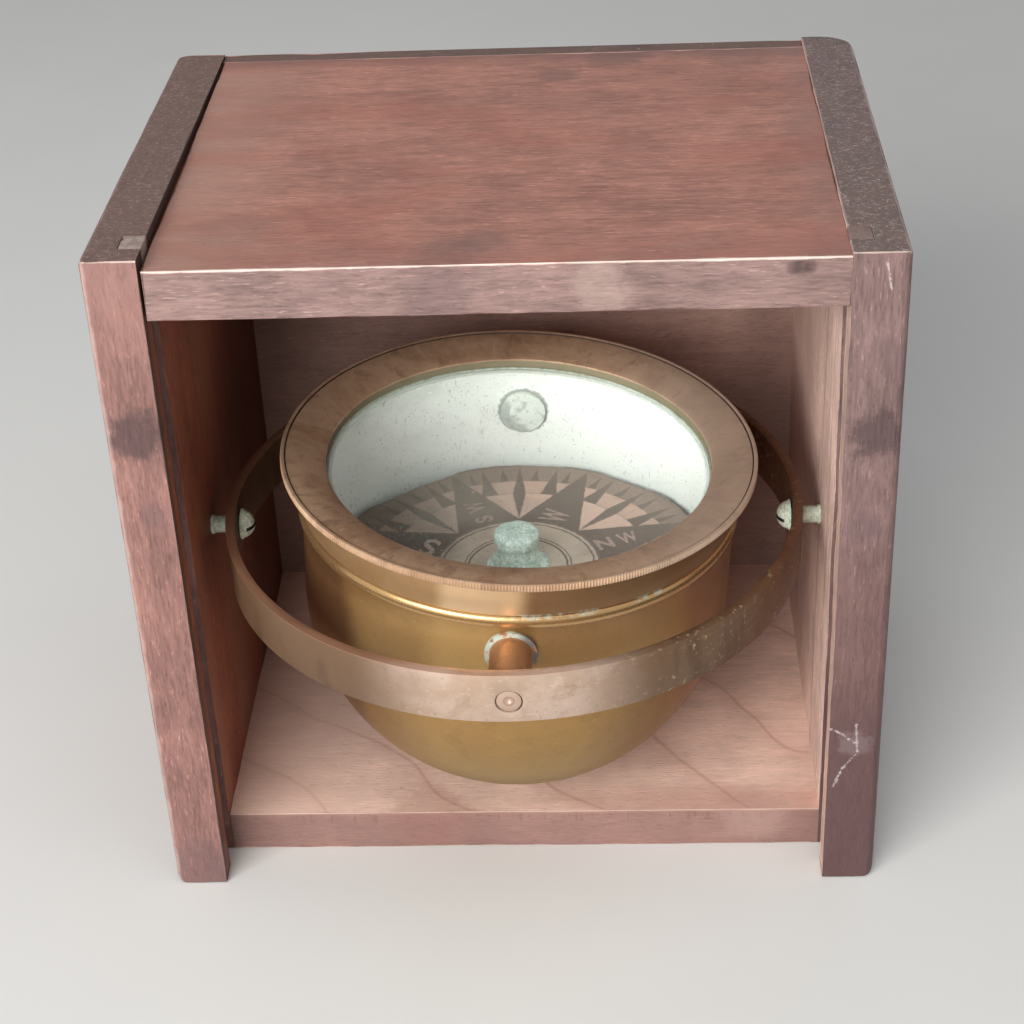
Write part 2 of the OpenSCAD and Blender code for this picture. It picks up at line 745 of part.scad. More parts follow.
// Strips bent round the magnets, with their feet against the card
module magnet_straps() {
    color([0.68, 0.54, 0.33]) at_card() rotate(card_heading) for (side = [-1, 1], end = [-1, 1])
        translate([end * strap_at - strap_w / 2, side * magnet_off, card_under]) difference() {
            union() {
                translate([0, -magnet_w / 2 - strap_t, -magnet_h - strap_t])
                    cube([strap_w, magnet_w + 2 * strap_t, magnet_h + strap_t]);
                translate([0, -magnet_w / 2 - strap_foot, -strap_t])
                    cube([strap_w, magnet_w + 2 * strap_foot, strap_t]);
            }
            translate([-eps, -magnet_w / 2, -magnet_h]) cube([strap_w + 2 * eps, magnet_w, magnet_h + eps]);
        }
}

left_side();
right_side();
top_board();
bottom_board();
back_panel();
groove_plugs();
joint_brads();
back_pins();
pivot_screw_left();
pivot_screw_right();
spacer_left();
spacer_right();
pivot_washers();
gimbal_ring();
bowl_shell();
cover_ring();
glazing_putty();
glass();
trunnion_front();
trunnion_rear();
trunnion_nuts();
ballast_weight();
pivot_post();
post_screws();
pivot_pin();
compass_card();
card_cap();
cap_jewel();
cap_nut();
magnet_bars();
magnet_straps();
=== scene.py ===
import json
import math
from contextlib import contextmanager

import bpy
from bpy.props import FloatProperty, FloatVectorProperty, IntProperty, PointerProperty
from mathutils import Matrix, Vector, noise


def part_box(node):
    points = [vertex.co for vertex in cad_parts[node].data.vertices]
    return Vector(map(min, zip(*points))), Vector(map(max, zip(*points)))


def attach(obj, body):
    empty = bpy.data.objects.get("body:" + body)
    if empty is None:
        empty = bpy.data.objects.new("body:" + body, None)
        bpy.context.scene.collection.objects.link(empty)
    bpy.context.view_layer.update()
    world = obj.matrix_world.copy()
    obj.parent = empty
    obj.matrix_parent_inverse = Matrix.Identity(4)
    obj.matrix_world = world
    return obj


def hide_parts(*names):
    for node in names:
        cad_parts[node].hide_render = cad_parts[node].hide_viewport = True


bl_info = {
    "name": "Gimballed box compass",
    "version": (1, 1, 0),
    "blender": (4, 5, 0),
    "location": "3D View > Sidebar > Compass",
    "description": "Dresses the packed frame of a small boat compass in worn wood, brass, glass and a card",
    "category": "Object",
}

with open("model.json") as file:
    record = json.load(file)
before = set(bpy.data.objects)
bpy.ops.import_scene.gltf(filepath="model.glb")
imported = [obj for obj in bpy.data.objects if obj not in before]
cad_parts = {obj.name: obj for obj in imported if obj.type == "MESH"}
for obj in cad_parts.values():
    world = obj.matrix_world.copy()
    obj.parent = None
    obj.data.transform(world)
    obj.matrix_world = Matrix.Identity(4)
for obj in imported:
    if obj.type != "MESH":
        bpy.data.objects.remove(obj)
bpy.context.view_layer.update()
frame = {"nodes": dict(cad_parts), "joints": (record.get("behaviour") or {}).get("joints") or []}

MM = 0.001
TAU = 2 * math.pi
JOINTS = {j["name"]: j for j in frame["joints"]}
RING_MID = Vector(JOINTS["ring_tilt"]["pos_m"])
CARD_TIP = Vector(JOINTS["card_spin"]["pos_m"])
TRUNNION_LINE = Vector(JOINTS["bowl_tilt"]["axis"]).normalized()
RING_TURN = Matrix.Rotation(math.atan2(TRUNNION_LINE.z, TRUNNION_LINE.y), 3, "X")

# Sizes of the turned pieces, in mm, as in the part's source
BOWL_OFF, TRUNNION_DROP = 0.9, 0.8
BOWL_R, BORE_R, STRAIGHT_H = 53.5, 51.9, 16.5
FLANGE_Z, FLANGE_TOP, FLANGE_R = 6.4, 9.9, 54.7
NECK_R, NECK_TOP = 52.85, 15.7
SEAT_R, SEAT_Z, GLASS_Z = 50.3, 12.6, 14.1
COVER_R, COVER_Z, COVER_T = 47.2, 16.5, 2.4
RIM_R, RIM_Z, RIM_LOW = 58.3, 21.6, 19.7
SKIRT_IN, SKIRT_OUT = 52.95, 54.1
TIP_Z = -10.02
CARD_R, CARD_Z, CARD_T = 49.5, -15.2, 0.5
CARD_HEADING = math.radians(338.5)
KNOB_Z, CAP_TOP, STEM_BOTTOM = -8.6, -4.4, -18.1
KNOB_R, CROWN_W, CROWN_H = 5.7, 2.6, 1.4
WAIST_R, FOOT_R, FOOT_H = 5.0, 7.8, 0.7
STEM_R, CAP_BORE_R = 3.8, 2.0
JOURNAL_R, NUT_R = 2.85, 6.0
# Where the journals' end faces and the bottoms of the screws' slots lie, in mm from the middle of the bowl or
# box, and how far the painted shade in a slot reaches up and down
JOURNAL_END, SLOT_FLOOR, SLOT_HALF = 70.5, 67.05, 0.5

# The bowl leans in the ring, from the ring's middle towards where the card's pin stands
BOWL_MID = RING_MID + Vector((BOWL_OFF * MM, 0, 0))
BOWL_UP = (BOWL_MID - CARD_TIP).normalized()
BOWL_TURN = Matrix((TRUNNION_LINE.cross(BOWL_UP), TRUNNION_LINE, BOWL_UP)).transposed()
BOWL_PLACE = Matrix.Translation(BOWL_MID) @ BOWL_TURN.to_4x4()
CARD_MID = CARD_TIP - Vector((0, 0, TIP_Z * MM))
CARD_PLACE = Matrix.Translation(CARD_MID)
IN_BOWL = (tuple(BOWL_MID), tuple(BOWL_TURN.to_euler()))
IN_RING = (tuple(RING_MID), tuple(RING_TURN.to_euler()))


def tint(red, green, blue):
    """A colour as it is seen, 0 to 255, turned into Blender's linear values."""
    def linear(c):
        c = c / 255
        return c / 12.92 if c <= 0.04045 else ((c + 0.055) / 1.055) ** 2.4
    return (linear(red), linear(green), linear(blue), 1.0)


def toned(tone, level):
    """A tone made darker or lighter by a level."""
    return tuple(min(1.0, c * level) for c in tone[:3]) + (1.0,)


# modelling

def deselect():
    for o in list(bpy.context.selected_objects):
        o.select_set(False)
    bpy.context.view_layer.objects.active = None


def activate(piece):
    deselect()
    piece.select_set(True)
    bpy.context.view_layer.objects.active = piece
    return piece


@contextmanager
def editing(piece):
    """Edit mode on one piece."""
    activate(piece)
    bpy.ops.object.mode_set(mode="EDIT")
    bpy.ops.mesh.select_mode(type="VERT")
    bpy.ops.mesh.select_all(action="SELECT")
    yield
    bpy.ops.object.mode_set(mode="OBJECT")


def copied(node, name):
    """A new piece with the shape of a CAD node, its triangles merged into flat faces."""
    mesh = frame["nodes"][node].data.copy()
    mesh.name = name
    mesh.materials.clear()
    piece = bpy.data.objects.new(name, mesh)
    bpy.context.scene.collection.objects.link(piece)
    with editing(piece):
        bpy.ops.mesh.customdata_custom_splitnormals_clear()
        bpy.ops.mesh.remove_doubles(threshold=2e-6)
        bpy.ops.mesh.dissolve_limited(angle_limit=math.radians(0.4))
    return piece


def cut_across(piece, axis, places):
    """Cuts the mesh along flat planes, so that it has points to wear down."""
    normal = [0, 0, 0]
    normal[axis] = 1
    with editing(piece):
        for place in places:
            point = [0, 0, 0]
            point[axis] = place
            bpy.ops.mesh.select_all(action="SELECT")
            bpy.ops.mesh.bisect(plane_co=point, plane_no=normal, use_fill=False)


def soften(piece, width, segments=2, angle=35):
    """Rounds the sharp edges with a bevel that is applied."""
    activate(piece)
    bevel = piece.modifiers.new("edges", "BEVEL")
    bevel.width = width * MM
    bevel.segments = segments
    bevel.limit_method = "ANGLE"
    bevel.angle_limit = math.radians(angle)
    bevel.use_clamp_overlap = True
    bpy.ops.object.modifier_apply(modifier=bevel.name)


def turned(name, outline, steps):
    """A turned piece: a point is drawn out along its outline in mm, and spun round Z."""
    deselect()
    bpy.ops.mesh.primitive_plane_add(size=MM, location=(0, 0, 0))
    piece = bpy.context.object
    piece.name = piece.data.name = name
    points = [Vector((r * MM, 0, z * MM)) for r, z in outline]
    with editing(piece):
        bpy.ops.mesh.merge(type="CENTER")
        bpy.ops.mesh.select_all(action="SELECT")
        bpy.ops.transform.translate(value=points[0])
        for a, b in zip(points, points[1:]):
            bpy.ops.mesh.extrude_region_move(TRANSFORM_OT_translate={"value": b - a})
        bpy.ops.mesh.select_all(action="SELECT")
        bpy.ops.mesh.spin(steps=steps, angle=TAU, center=(0, 0, 0), axis=(0, 0, 1))
        bpy.ops.mesh.select_all(action="SELECT")
        bpy.ops.mesh.remove_doubles(threshold=1e-6)
        bpy.ops.mesh.normals_make_consistent(inside=False)
    return piece


def draw_in(vertex, share):
    """Moves a point of a turned piece along its radius, to a share of what it was."""
    vertex.co.x *= share
    vertex.co.y *= share


def arc(middle, size, low, high, count):
    """Points of a round or oval arc, with angles in degrees from level."""
    angles = [math.radians(low + (high - low) * i / count) for i in range(count + 1)]
    return [(middle[0] + size[0] * math.cos(a), middle[1] + size[1] * math.sin(a)) for a in angles]


def finish_piece(piece, body, finish, replaces=(), smooth=40):
    """Shades the piece, gives it its finish, hands it to its body and hides the CAD nodes it replaces."""
    activate(piece)
    bpy.ops.object.shade_smooth_by_angle(angle=math.radians(smooth))
    piece.data.materials.clear()
    piece.data.materials.append(finish)
    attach(piece, body)
    if replaces:
        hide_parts(*replaces)
    return piece


def paint_nodes(material, *nodes):
    """Gives CAD nodes that stay as they are their finish."""
    for node in nodes:
        mesh = frame["nodes"][node].data
        mesh.materials.clear()
        mesh.materials.append(material)


# materials

class Value:
    """A shader socket that turns arithmetic into Math nodes."""

    def __init__(self, finish, socket):
        self.finish, self.socket = finish, socket

    def _math(self, operation, *sides):
        return self.finish.node("ShaderNodeMath", {"operation": operation}, dict(enumerate(sides)))

    def __add__(self, other):
        return self._math("ADD", self, other)

    __radd__ = __add__

    def __sub__(self, other):
        return self._math("SUBTRACT", self, other)

    def __rsub__(self, other):
        return self._math("SUBTRACT", other, self)

    def __mul__(self, other):
        return self._math("MULTIPLY", self, other)

    __rmul__ = __mul__

    def __truediv__(self, other):
        return self._math("DIVIDE", self, other)

    def __pow__(self, other):
        return self._math("POWER", self, other)

    def __abs__(self):
        return self._math("ABSOLUTE", self)

    def least(self, other):
        return self._math("MINIMUM", self, other)

    def most(self, other):
        return self._math("MAXIMUM", self, other)

    def pingpong(self, size):
        return self._math("PINGPONG", self, size)

    def rise(self, low, high):
        """0 below low, 1 above high, smooth between; with low above high it falls instead."""
        settings = {"interpolation_type": "SMOOTHSTEP", "clamp": True}
        if low > high:
            return 1 - self.rise(high, low)
        ends = {"Value": self, "From Min": low, "From Max": high}
        return self.finish.node("ShaderNodeMapRange", settings, ends)

    def band(self, low, high, soft):
        """1 between low and high, and 0 further out."""
        return self.rise(low - soft, low) * self.rise(high + soft, high)


class Finish:
    """A material that is built up in layers: a colour, a roughness, a metallic share and a relief."""

    def __init__(self, name, centre=(0, 0, 0), turn=(0, 0, 0)):
        self.material = bpy.data.materials.new(name)
        self.material.use_nodes = True
        self.tree = self.material.node_tree
        self.tree.nodes.clear()
        # Object coordinates in mm, counted from the piece's own middle and turned with it
        coordinates = self.node("ShaderNodeTexCoord", out="Object")
        self.at = self.node("ShaderNodeMapping", {"vector_type": "TEXTURE"}, {
            "Vector": coordinates, "Location": centre, "Rotation": turn, "Scale": (MM, MM, MM)})
        self.x, self.y, self.z = self.parts(self.at)
        self.radius = (self.x * self.x + self.y * self.y) ** 0.5
        self.colour, self.rough, self.metal, self.height = (0.5, 0.5, 0.5, 1.0), 0.5, 0.0, 0.0

    def node(self, kind, settings=None, sockets=None, out=0):
        """Adds any node: its settings are set first, then its sockets are filled or linked."""
        made = self.tree.nodes.new(kind)
        for key, value in (settings or {}).items():
            setattr(made, key, value)
        for key, value in (sockets or {}).items():
            if isinstance(value, Value):
                self.tree.links.new(value.socket, made.inputs[key])
            else:
                made.inputs[key].default_value = value
        return Value(self, made.outputs[out]) if len(made.outputs) else made

    def parts(self, vector):
        whole = self.node("ShaderNodeSeparateXYZ", sockets={0: vector})
        outputs = whole.socket.node.outputs
        return [Value(self, outputs[i]) for i in range(3)]

    def normal(self):
        return self.parts(self.node("ShaderNodeTexCoord", out="Normal"))

    def facing(self, side):
        """1 on faces that look towards a side, given as axis and sign, and 0 on the rest."""
        axis, sign = side
        return (self.normal()[axis] * sign).rise(0.4, 0.8)

    def join(self, x, y, z):
        return self.node("ShaderNodeCombineXYZ", sockets={0: x, 1: y, 2: z})

    def vector(self, operation, first, second):
        return self.node("ShaderNodeVectorMath", {"operation": operation}, {0: first, 1: second})

    def distance(self, point, vector=None):
        settings = {"operation": "DISTANCE"}
        return self.node("ShaderNodeVectorMath", settings, {0: vector or self.at, 1: point}, out="Value")

    def grain(self, size, stretch=(1, 1, 1), shift=0, detail=3.0, rough=0.6, warp=0.0, vector=None):
        """Noise whose features are about size mm wide, and longer along an axis with a small stretch."""
        place = self.vector("MULTIPLY", vector or self.at, stretch)
        if shift:
            place = self.vector("ADD", place, (shift, shift * 1.7, shift * 0.6))
        return self.node("ShaderNodeTexNoise", {}, {
            "Vector": place, "Scale": 1 / size, "Detail": detail, "Roughness": rough, "Distortion": warp})

    def mix(self, factor, first, second, mode="MIX"):
        """Colour mixing."""
        return self.node("ShaderNodeMix", {"data_type": "RGBA", "blend_type": mode},
                         {0: factor, 6: first, 7: second}, out=2)

    def lay(self, amount, tone, rough=None, metal=None):
        """Lays another tone over what is there, with its own gloss."""
        self.colour = self.mix(amount, self.colour, tone)
        if rough is not None:
            self.rough = self.rough + amount * (rough - self.rough)
        if metal is not None:
            self.metal = self.metal + amount * (metal - self.metal)

    def shade(self, level):
        """Makes the tone lighter or darker by a level that varies round 1."""
        tone = self.colour if isinstance(self.colour, Value) else self.colour[:3]
        self.colour = self.node("ShaderNodeVectorMath", {"operation": "SCALE"}, {0: tone, "Scale": level})

    def line_gap(self, first, second, third, fourth):
        """Distance in mm to a straight mark, from x, z of one end to x, z of the other."""
        run_x, run_z = third - first, fourth - second
        length = run_x ** 2 + run_z ** 2
        share = ((self.x - first) * (run_x / length) + (self.z - second) * (run_z / length)).least(1).most(0)
        off_x, off_z = self.x - first - share * run_x, self.z - second - share * run_z
        return (off_x * off_x + off_z * off_z) ** 0.5

    def done(self, depth=0.05, gloss=0.5):
        """Closes the material with a Principled shader, its relief depth mm deep."""
        sockets = {"Base Color": self.colour, "Roughness": self.rough, "Metallic": self.metal,
                   "Specular IOR Level": gloss}
        if isinstance(self.height, Value):
            sockets["Normal"] = self.node("ShaderNodeBump", {}, {
                "Height": self.height, "Distance": depth * MM, "Strength": 1.0})
        return self.close(self.node("ShaderNodeBsdfPrincipled", {}, sockets))

    def close(self, shader):
        self.node("ShaderNodeOutputMaterial", {}, {"Surface": shader})
        return self.material


def wood(name, run, tone, faces=(), streaks=0.34, bands=0.22, clouds=0.3, flecks=0.35, pores=0.14):
    """Worn stained wood. run is its fibres' axis; faces are the sides and tones of faces unlike the rest."""
    f = Finish(name)
    f.colour, f.rough = tone, 0.62
    for side, face_tone in faces:
        f.lay(f.facing(side), face_tone)
    along = [1.0, 1.0, 1.0]
    along[run] = 0.12
    fine = f.grain(0.62, along, 0, 2.0, 0.55)
    broad = f.grain(3.2, along, 11, 3.0, 0.6, 0.4)
    cloud = f.grain(22, shift=5, rough=0.55)
    level = 1 + (fine.rise(0.28, 0.72) - 0.5) * streaks + (broad.rise(0.3, 0.7) - 0.5) * bands
    f.shade(level + (cloud.rise(0.3, 0.7) - 0.5) * clouds)
    short = [1.0, 1.0, 1.0]
    short[run] = 0.17
    fleck = f.grain(0.5, short, 23, 1.5, 0.5).rise(0.62, 0.72)
    pore = f.grain(0.42, short, 37, 1.5, 0.5).rise(0.61, 0.70)
    f.shade(1 + fleck * flecks - pore * pores)
    f.height = fine * 0.6 + broad * 0.5 - pore * 0.8
    f.rough = 0.62 + (cloud - 0.5) * 0.2 + pore * 0.1
    return f


def rubbed(f, box, first, second, width, strength, tone):
    """A light, uneven line where the edge between two sides of a board is rubbed bare."""
    gaps = []
    for axis, sign in (first, second):
        place = (f.x, f.y, f.z)[axis]
        gaps.append(box[1][axis] / MM - place if sign > 0 else place - box[0][axis] / MM)
    gap = gaps[0].most(gaps[1]) + (f.grain(7, shift=3) - 0.5) * width * 1.2
    f.lay(gap.rise(width, width * 0.3) * strength, tone)


def end_grain(f, run, tone, pale):
    """Rough end grain, where a board's face looks along its fibres."""
    coarse = f.grain(4.5, shift=41, detail=4.0, rough=0.7)
    speck = f.grain(0.55, (0.5, 1, 1), 43, 2.0)
    ends = f.mix(coarse.rise(0.35, 0.7) * 0.45, tone, toned(tone, 0.62))
    ends = f.mix(speck.rise(0.5, 0.72) * 0.4, ends, pale)
    ends = f.mix(f.grain(0.9, shift=47, detail=2.0).rise(0.66, 0.72) * 0.8, ends, pale)
    f.lay(abs(f.normal()[run]).rise(0.55, 0.85), ends, rough=0.75)


def stain(f, point, radius, strength, tone, ragged=1.0):
    """An uneven dark or light patch round a point."""
    wave = f.grain(3.4, shift=point[2] * 0.3, detail=4.0, rough=0.7) - 0.5
    gap = f.distance(point) + wave * radius * ragged
    f.lay(gap.rise(radius, radius * 0.45) * strength, tone)


def front_stains(f, front, *stains):
    """Stains on a board's front face, each with its x, z, radius, strength, tone and raggedness."""
    for x, z, *rest in stains:
        stain(f, (x, front, z), *rest)


def brass(name, place, tones, metal=0.55, rough=0.42, mottle=0.5, specks=0.4, scratches=0.4, lathe=0.0):
    """Old brass in clean, tarnished and dark tones, with specks, scratches and the lines of the lathe."""
    f = Finish(name, *place)
    clean, brown, black = tones
    f.colour, f.rough, f.metal = clean, rough, metal
    cloud = f.grain(16, shift=7, detail=4.0, warp=0.4).rise(0.38, 0.66)
    blotch = f.grain(4.6, shift=19, detail=4.0, rough=0.65, warp=0.3)
    f.lay(cloud * mottle, brown, rough + 0.08, metal * 0.75)
    f.lay(blotch.rise(0.5, 0.72) * mottle * 0.5, black, rough + 0.12, metal * 0.6)
    if lathe:
        turning = f.grain(1.0, vector=f.join(f.radius * 3.0, f.z * 3.0, 0.0), detail=2.0)
        f.shade(1 + (turning - 0.5) * lathe)
        f.height = turning * lathe
    f.lay(f.grain(0.75, shift=31, detail=1.0).rise(0.70, 0.76) * specks, black, 0.6, 0.2)
    f.lay(f.grain(0.85, shift=53, detail=1.0).rise(0.71, 0.76) * specks * 0.7, tint(222, 206, 178), 0.6, 0.2)
    scratch = f.grain(0.5, (0.2, 1.0, 0.6), 61, 1.0, 0.4, 1.6).rise(0.67, 0.73) * scratches
    f.lay(scratch * 0.5, toned(clean, 1.5))
    f.height = f.height + blotch * 0.3 + scratch * 0.2
    return f


def joint_crust(f, joint):
    """Green crust in places along the joint of bowl and cover ring, where joint is near 1."""
    places = f.x.band(-1, 19, 2) + f.x.band(29, 34, 1.5)
    amount = joint * places * f.grain(1.5, shift=3).rise(0.38, 0.62) * 0.65
    tone = f.mix(f.grain(2.4, shift=71), tint(132, 158, 146), tint(206, 216, 202))
    f.lay(amount, tone, 0.75, 0.0)
    f.height = f.height + amount * f.grain(0.6, shift=73, detail=2.0) * 1.2


def crusted(name, place, crust_tone, deep, bare_tone, bare=0.25, rough=0.72, lumps=0.12, slot_z=None):
    """Brass under a pale green crust, rubbed through in places; painted shade darkens a screw's slot at
    height slot_z.
    """
    f = Finish(name, *place)
    f.colour, f.rough = crust_tone, rough
    broad = f.grain(2.6, detail=4.0, rough=0.65)
    small = f.grain(0.7, shift=4, detail=3.0)
    f.lay(broad.rise(0.35, 0.7) * 0.8, deep)
    f.shade(1 + (small.rise(0.3, 0.7) - 0.5) * 0.45)
    f.lay(f.grain(1.1, shift=13, detail=2.0).rise(0.62, 0.72) * 0.6, tint(222, 232, 222))
    f.lay(f.grain(2.2, shift=9).rise(0.94 - bare, 1.06 - bare), bare_tone, rough * 0.6, 0.8)
    # Painted shade in the screw's slot
    if slot_z is not None:
        across = abs(f.z - slot_z).rise(SLOT_HALF + 0.05, SLOT_HALF - 0.05)
        f.lay(across * abs(f.x).rise(SLOT_FLOOR + 0.15, SLOT_FLOOR - 0.15), tint(40, 36, 28), 0.8)
    f.height = broad + small * 0.6
    return f.done(lumps)


def plain(name, tone, second, size, rough=0.5, metal=0.0, depth=0.03):
    """A simple finish for inner pieces: two tones, fine relief and uneven gloss."""
    f = Finish(name)
    patch = f.grain(size, detail=4.0)
    small = f.grain(size * 0.15)
    f.colour, f.metal, f.rough = tone, metal, rough + (patch - 0.5) * 0.2
    f.lay(patch.rise(0.35, 0.7), second)
    f.shade(1 + (small.rise(0.3, 0.7) - 0.5) * 0.25)
    f.height = small + patch * 0.5
    return f.done(depth)


# settings

def length(name, description, size):
    """A setting for a length, from its default in mm."""
    return FloatProperty(name=name, description=description, default=size * MM, unit="LENGTH", precision=5)


def power(name, description, watts):
    """A setting for a lamp's strength."""
    return FloatProperty(name=name, description=description, default=watts, unit="POWER")


def colour(name, description, *tone):
    """A setting for a colour, from its default as it is seen."""
    return FloatVectorProperty(name=name, description=description, subtype="COLOR", size=4, min=0, max=1,
                               default=tint(*tone))


class CompassSizes(bpy.types.PropertyGroup):
    knurl_count: IntProperty(name="Milled teeth", description="Teeth round the cover ring's rim", default=505,
                             min=200, max=800)
    knurl_depth: length("Tooth depth", "Depth of the milled teeth", 0.26)
    card_ragged: length("Ragged edge", "How uneven the card's edge is", 0.35)
    edge_wear: length("Edge wear", "How far the boards' edges are worn down", 0.3)
    single_letter: length("Single letter", "Height of a letter that stands alone", 7.4)
    paired_letter: length("Paired letter", "Height of a letter in a pair", 4.9)
    lens: FloatProperty(name="Lens", description="The camera's focal length in mm", default=74.657)
    key_light: power("Key light", "Strength of the large soft lamp", 30.0)
    top_light: power("Top light", "Strength of the soft lamp above", 4.5)
    sky: FloatProperty(name="Room light", description="Strength of the even light all round", default=0.25)


class CompassColours(bpy.types.PropertyGroup):
    top_wood: colour("Top board", "Colour of the top board's wood", 164, 116, 103)
    side_wood: colour("Side boards", "Colour of the side boards' wood", 137, 100, 93)
    bottom_wood: colour("Bottom board", "Colour of the bottom board's wood", 236, 202, 186)
    back_wood: colour("Back panel", "Colour of the back panel's wood", 164, 132, 121)
    bowl_brass: colour("Bowl", "Colour of the bowl's brass", 169, 132, 80)
    cover_brass: colour("Cover ring", "Colour of the cover ring's brass", 206, 172, 142)
    paint: colour("White paint", "Colour of the paint inside the bowl", 250, 253, 250)
    card_ground: colour("Card ground", "Dark colour of the printed card", 130, 117, 110)
    card_pink: colour("Card points", "Light colour of the printed points", 222, 190, 176)
    floor: colour("Floor", "Colour of the floor and the background", 226, 226, 224)


def sizes():
    return bpy.context.scene.compass_sizes


def colour_of(key):
    return tuple(getattr(bpy.context.scene.compass_colours, key))


# the box

def steps_between(low, high, spacing):
    count = max(1, round((high - low) / spacing))
    return [low + (high - low) * i / count for i in range(1, count)]


def weather(piece, box, depth, seed):
    """Wears the edges of a board inwards in slow waves, and leaves its flat faces as they are."""
    low, high = box
    mesh = piece.data
    normals = [v.normal.copy() for v in mesh.vertices]
    for vertex, normal in zip(mesh.vertices, normals):
        # The parts of a flat face's normal add up to 1, those of an edge to more
        if sum(abs(n) for n in normal) < 1.12:
            continue
        at = vertex.co / MM
        slow = noise.noise(at * 0.05 + Vector((seed, 0, 0)))
        quick = noise.noise(at * 0.19 + Vector((0, seed, 0))) * 0.7
        vertex.co -= normal * depth * max(0.0, 0.3 + slow + quick)
    for vertex in mesh.vertices:
        for i in range(3):
            vertex.co[i] = min(max(vertex.co[i], low[i]), high[i])


def board(node, name, spacing, edge, seed):
    """A board with softened, worn edges, from the CAD node's own shape."""
    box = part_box(node)
    piece = copied(node, name)
    for axis in range(3):
        cut_across(piece, axis, steps_between(box[0][axis], box[1][axis], spacing[axis] * MM))
    soften(piece, edge, 3)
    weather(piece, box, sizes().edge_wear, seed)
    return piece


# Sides of a board, each as axis and sign, and the axes that its fibres can follow
LEFT, RIGHT, FRONT, BACK, DOWN, UP = (0, -1), (0, 1), (1, -1), (1, 1), (2, -1), (2, 1)
ALONG_X, ALONG_Z = 0, 2
BARE = tint(232, 208, 198)
SOOT = tint(72, 56, 58)
PURPLE = tint(104, 84, 86)


def front_scratches(f, front, points, width, strength):
    """Thin white scratches in a board's front face, drawn from point to point."""
    near = f.y.rise(front + 1.2, front + 0.4)
    for (x0, z0), (x1, z1) in zip(points, points[1:]):
        gap = f.line_gap(x0, z0, x1, z1) + (f.grain(1.6, detail=3.0) - 0.5) * width * 5
        worn = f.grain(1.1, shift=7, detail=3.0).rise(0.36, 0.56)
        f.lay(gap.rise(width * 1.5, width * 0.2) * near * worn * strength, tint(222, 210, 210))


class COMPASS_OT_side_boards(bpy.types.Operator):
    """Make the two worn side boards"""
    bl_idname = "compass.side_boards"
    bl_label = "Side boards"

    def execute(self, context):
        self.left_board()
        self.right_board()
        return {"FINISHED"}

    def left_board(self):
        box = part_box("left_side")
        piece = board("left_side", "left_board", (6.4, 4.0, 4.0), 0.5, 3.1)
        front = box[0].y / MM
        # The inner face gets a darker tone than the right board's inside, as painted shade
        f = wood("left_board_wood", ALONG_Z, colour_of("side_wood"), ((RIGHT, tint(150, 87, 65)),),
                 flecks=0.5)
        # The inner face: a dark back part and a dark strip where it stands over the top board, both painted
        # shade, and two lighter bands
        inner = f.facing(RIGHT)
        wavy = f.y + (f.grain(30) - 0.5) * 8
        bands = wavy.band(-2, 8, 9) + wavy.band(-36, -31, 6) * f.z.rise(110, 60)
        f.lay(inner * wavy.rise(14, 44) * 0.65, tint(70, 40, 32))
        f.lay(inner * bands * 0.4, tint(168, 116, 90))
        f.lay(inner * f.y.band(front, -46.5, 0.5), tint(96, 76, 66))
        f.lay(inner * f.z.rise(172.6, 173.6), tint(60, 36, 31))
        f.lay(f.facing(FRONT) * f.z.rise(140, 178) * 0.5, tint(156, 119, 112))
        front_stains(f, front, (-81.6, 133.5, 8.2, 0.75, SOOT, 1.3), (-80.6, 112, 4.6, 0.4, PURPLE),
                     (-84, 5, 13, 0.5, PURPLE))
        end_grain(f, ALONG_Z, tint(116, 92, 86), tint(178, 158, 148))
        rubbed(f, box, UP, FRONT, 0.5, 0.75, BARE)
        rubbed(f, box, LEFT, FRONT, 1.6, 0.3, BARE)
        rubbed(f, box, LEFT, UP, 0.9, 0.45, BARE)
        finish_piece(piece, "box", f.done(0.07, gloss=0.35), ("left_side",))

    def right_board(self):
        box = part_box("right_side")
        piece = board("right_side", "right_board", (6.4, 4.0, 4.0), 0.5, 8.4)
        front = box[0].y / MM
        f = wood("right_board_wood", ALONG_Z, tint(122, 98, 95), ((LEFT, tint(222, 190, 177)),), flecks=0.5)
        inner = f.facing(LEFT)
        wavy = f.y + (f.grain(34) - 0.5) * 3
        # The inner face darkens towards the back, a painted shade
        f.lay(inner * wavy.rise(-30, 40) * 0.5, tint(188, 152, 136))
        f.lay(inner * (wavy.band(-25.8, -25.2, 0.8) + wavy.band(-9, -8, 1.5)) * 0.3, tint(120, 88, 72))
        f.lay(inner * f.y.band(front, -44, 0.4) * 0.45, tint(150, 116, 104))
        # The front darkens towards the foot
        facing = f.facing(FRONT)
        f.lay(facing * (f.z + (f.grain(9) - 0.5) * 22).rise(66, 44) * 0.75, tint(84, 69, 73))
        f.lay(facing * (f.z + (f.grain(12) - 0.5) * 30).rise(138, 70) * 0.5, tint(90, 58, 54))
        front_stains(f, front, (83.2, 130, 8.2, 0.68, SOOT, 1.4), (82.2, 106, 5.6, 0.5, PURPLE),
                     (85.5, 150, 6, 0.3, PURPLE))
        front_scratches(f, front, ((75.5, 48.2), (79, 46.2), (82.5, 43.3)), 0.3, 0.6)
        front_scratches(f, front, ((82.6, 48.8), (83.2, 40.2), (79.8, 35.4), (77.5, 29.0)), 0.3, 0.5)
        front_stains(f, front, (82.4, 43, 5, 0.22, tint(160, 144, 146), 1.6))
        front_scratches(f, front, ((83.6, 172), (84.8, 165.7)), 0.2, 0.5)
        end_grain(f, ALONG_Z, tint(116, 98, 94), tint(196, 184, 176))
        rubbed(f, box, UP, FRONT, 0.45, 0.6, BARE)
        rubbed(f, box, RIGHT, UP, 1.2, 0.5, BARE)
        rubbed(f, box, LEFT, UP, 0.5, 0.5, tint(190, 172, 160))
        finish_piece(piece, "box", f.done(0.07, gloss=0.35), ("right_side",))


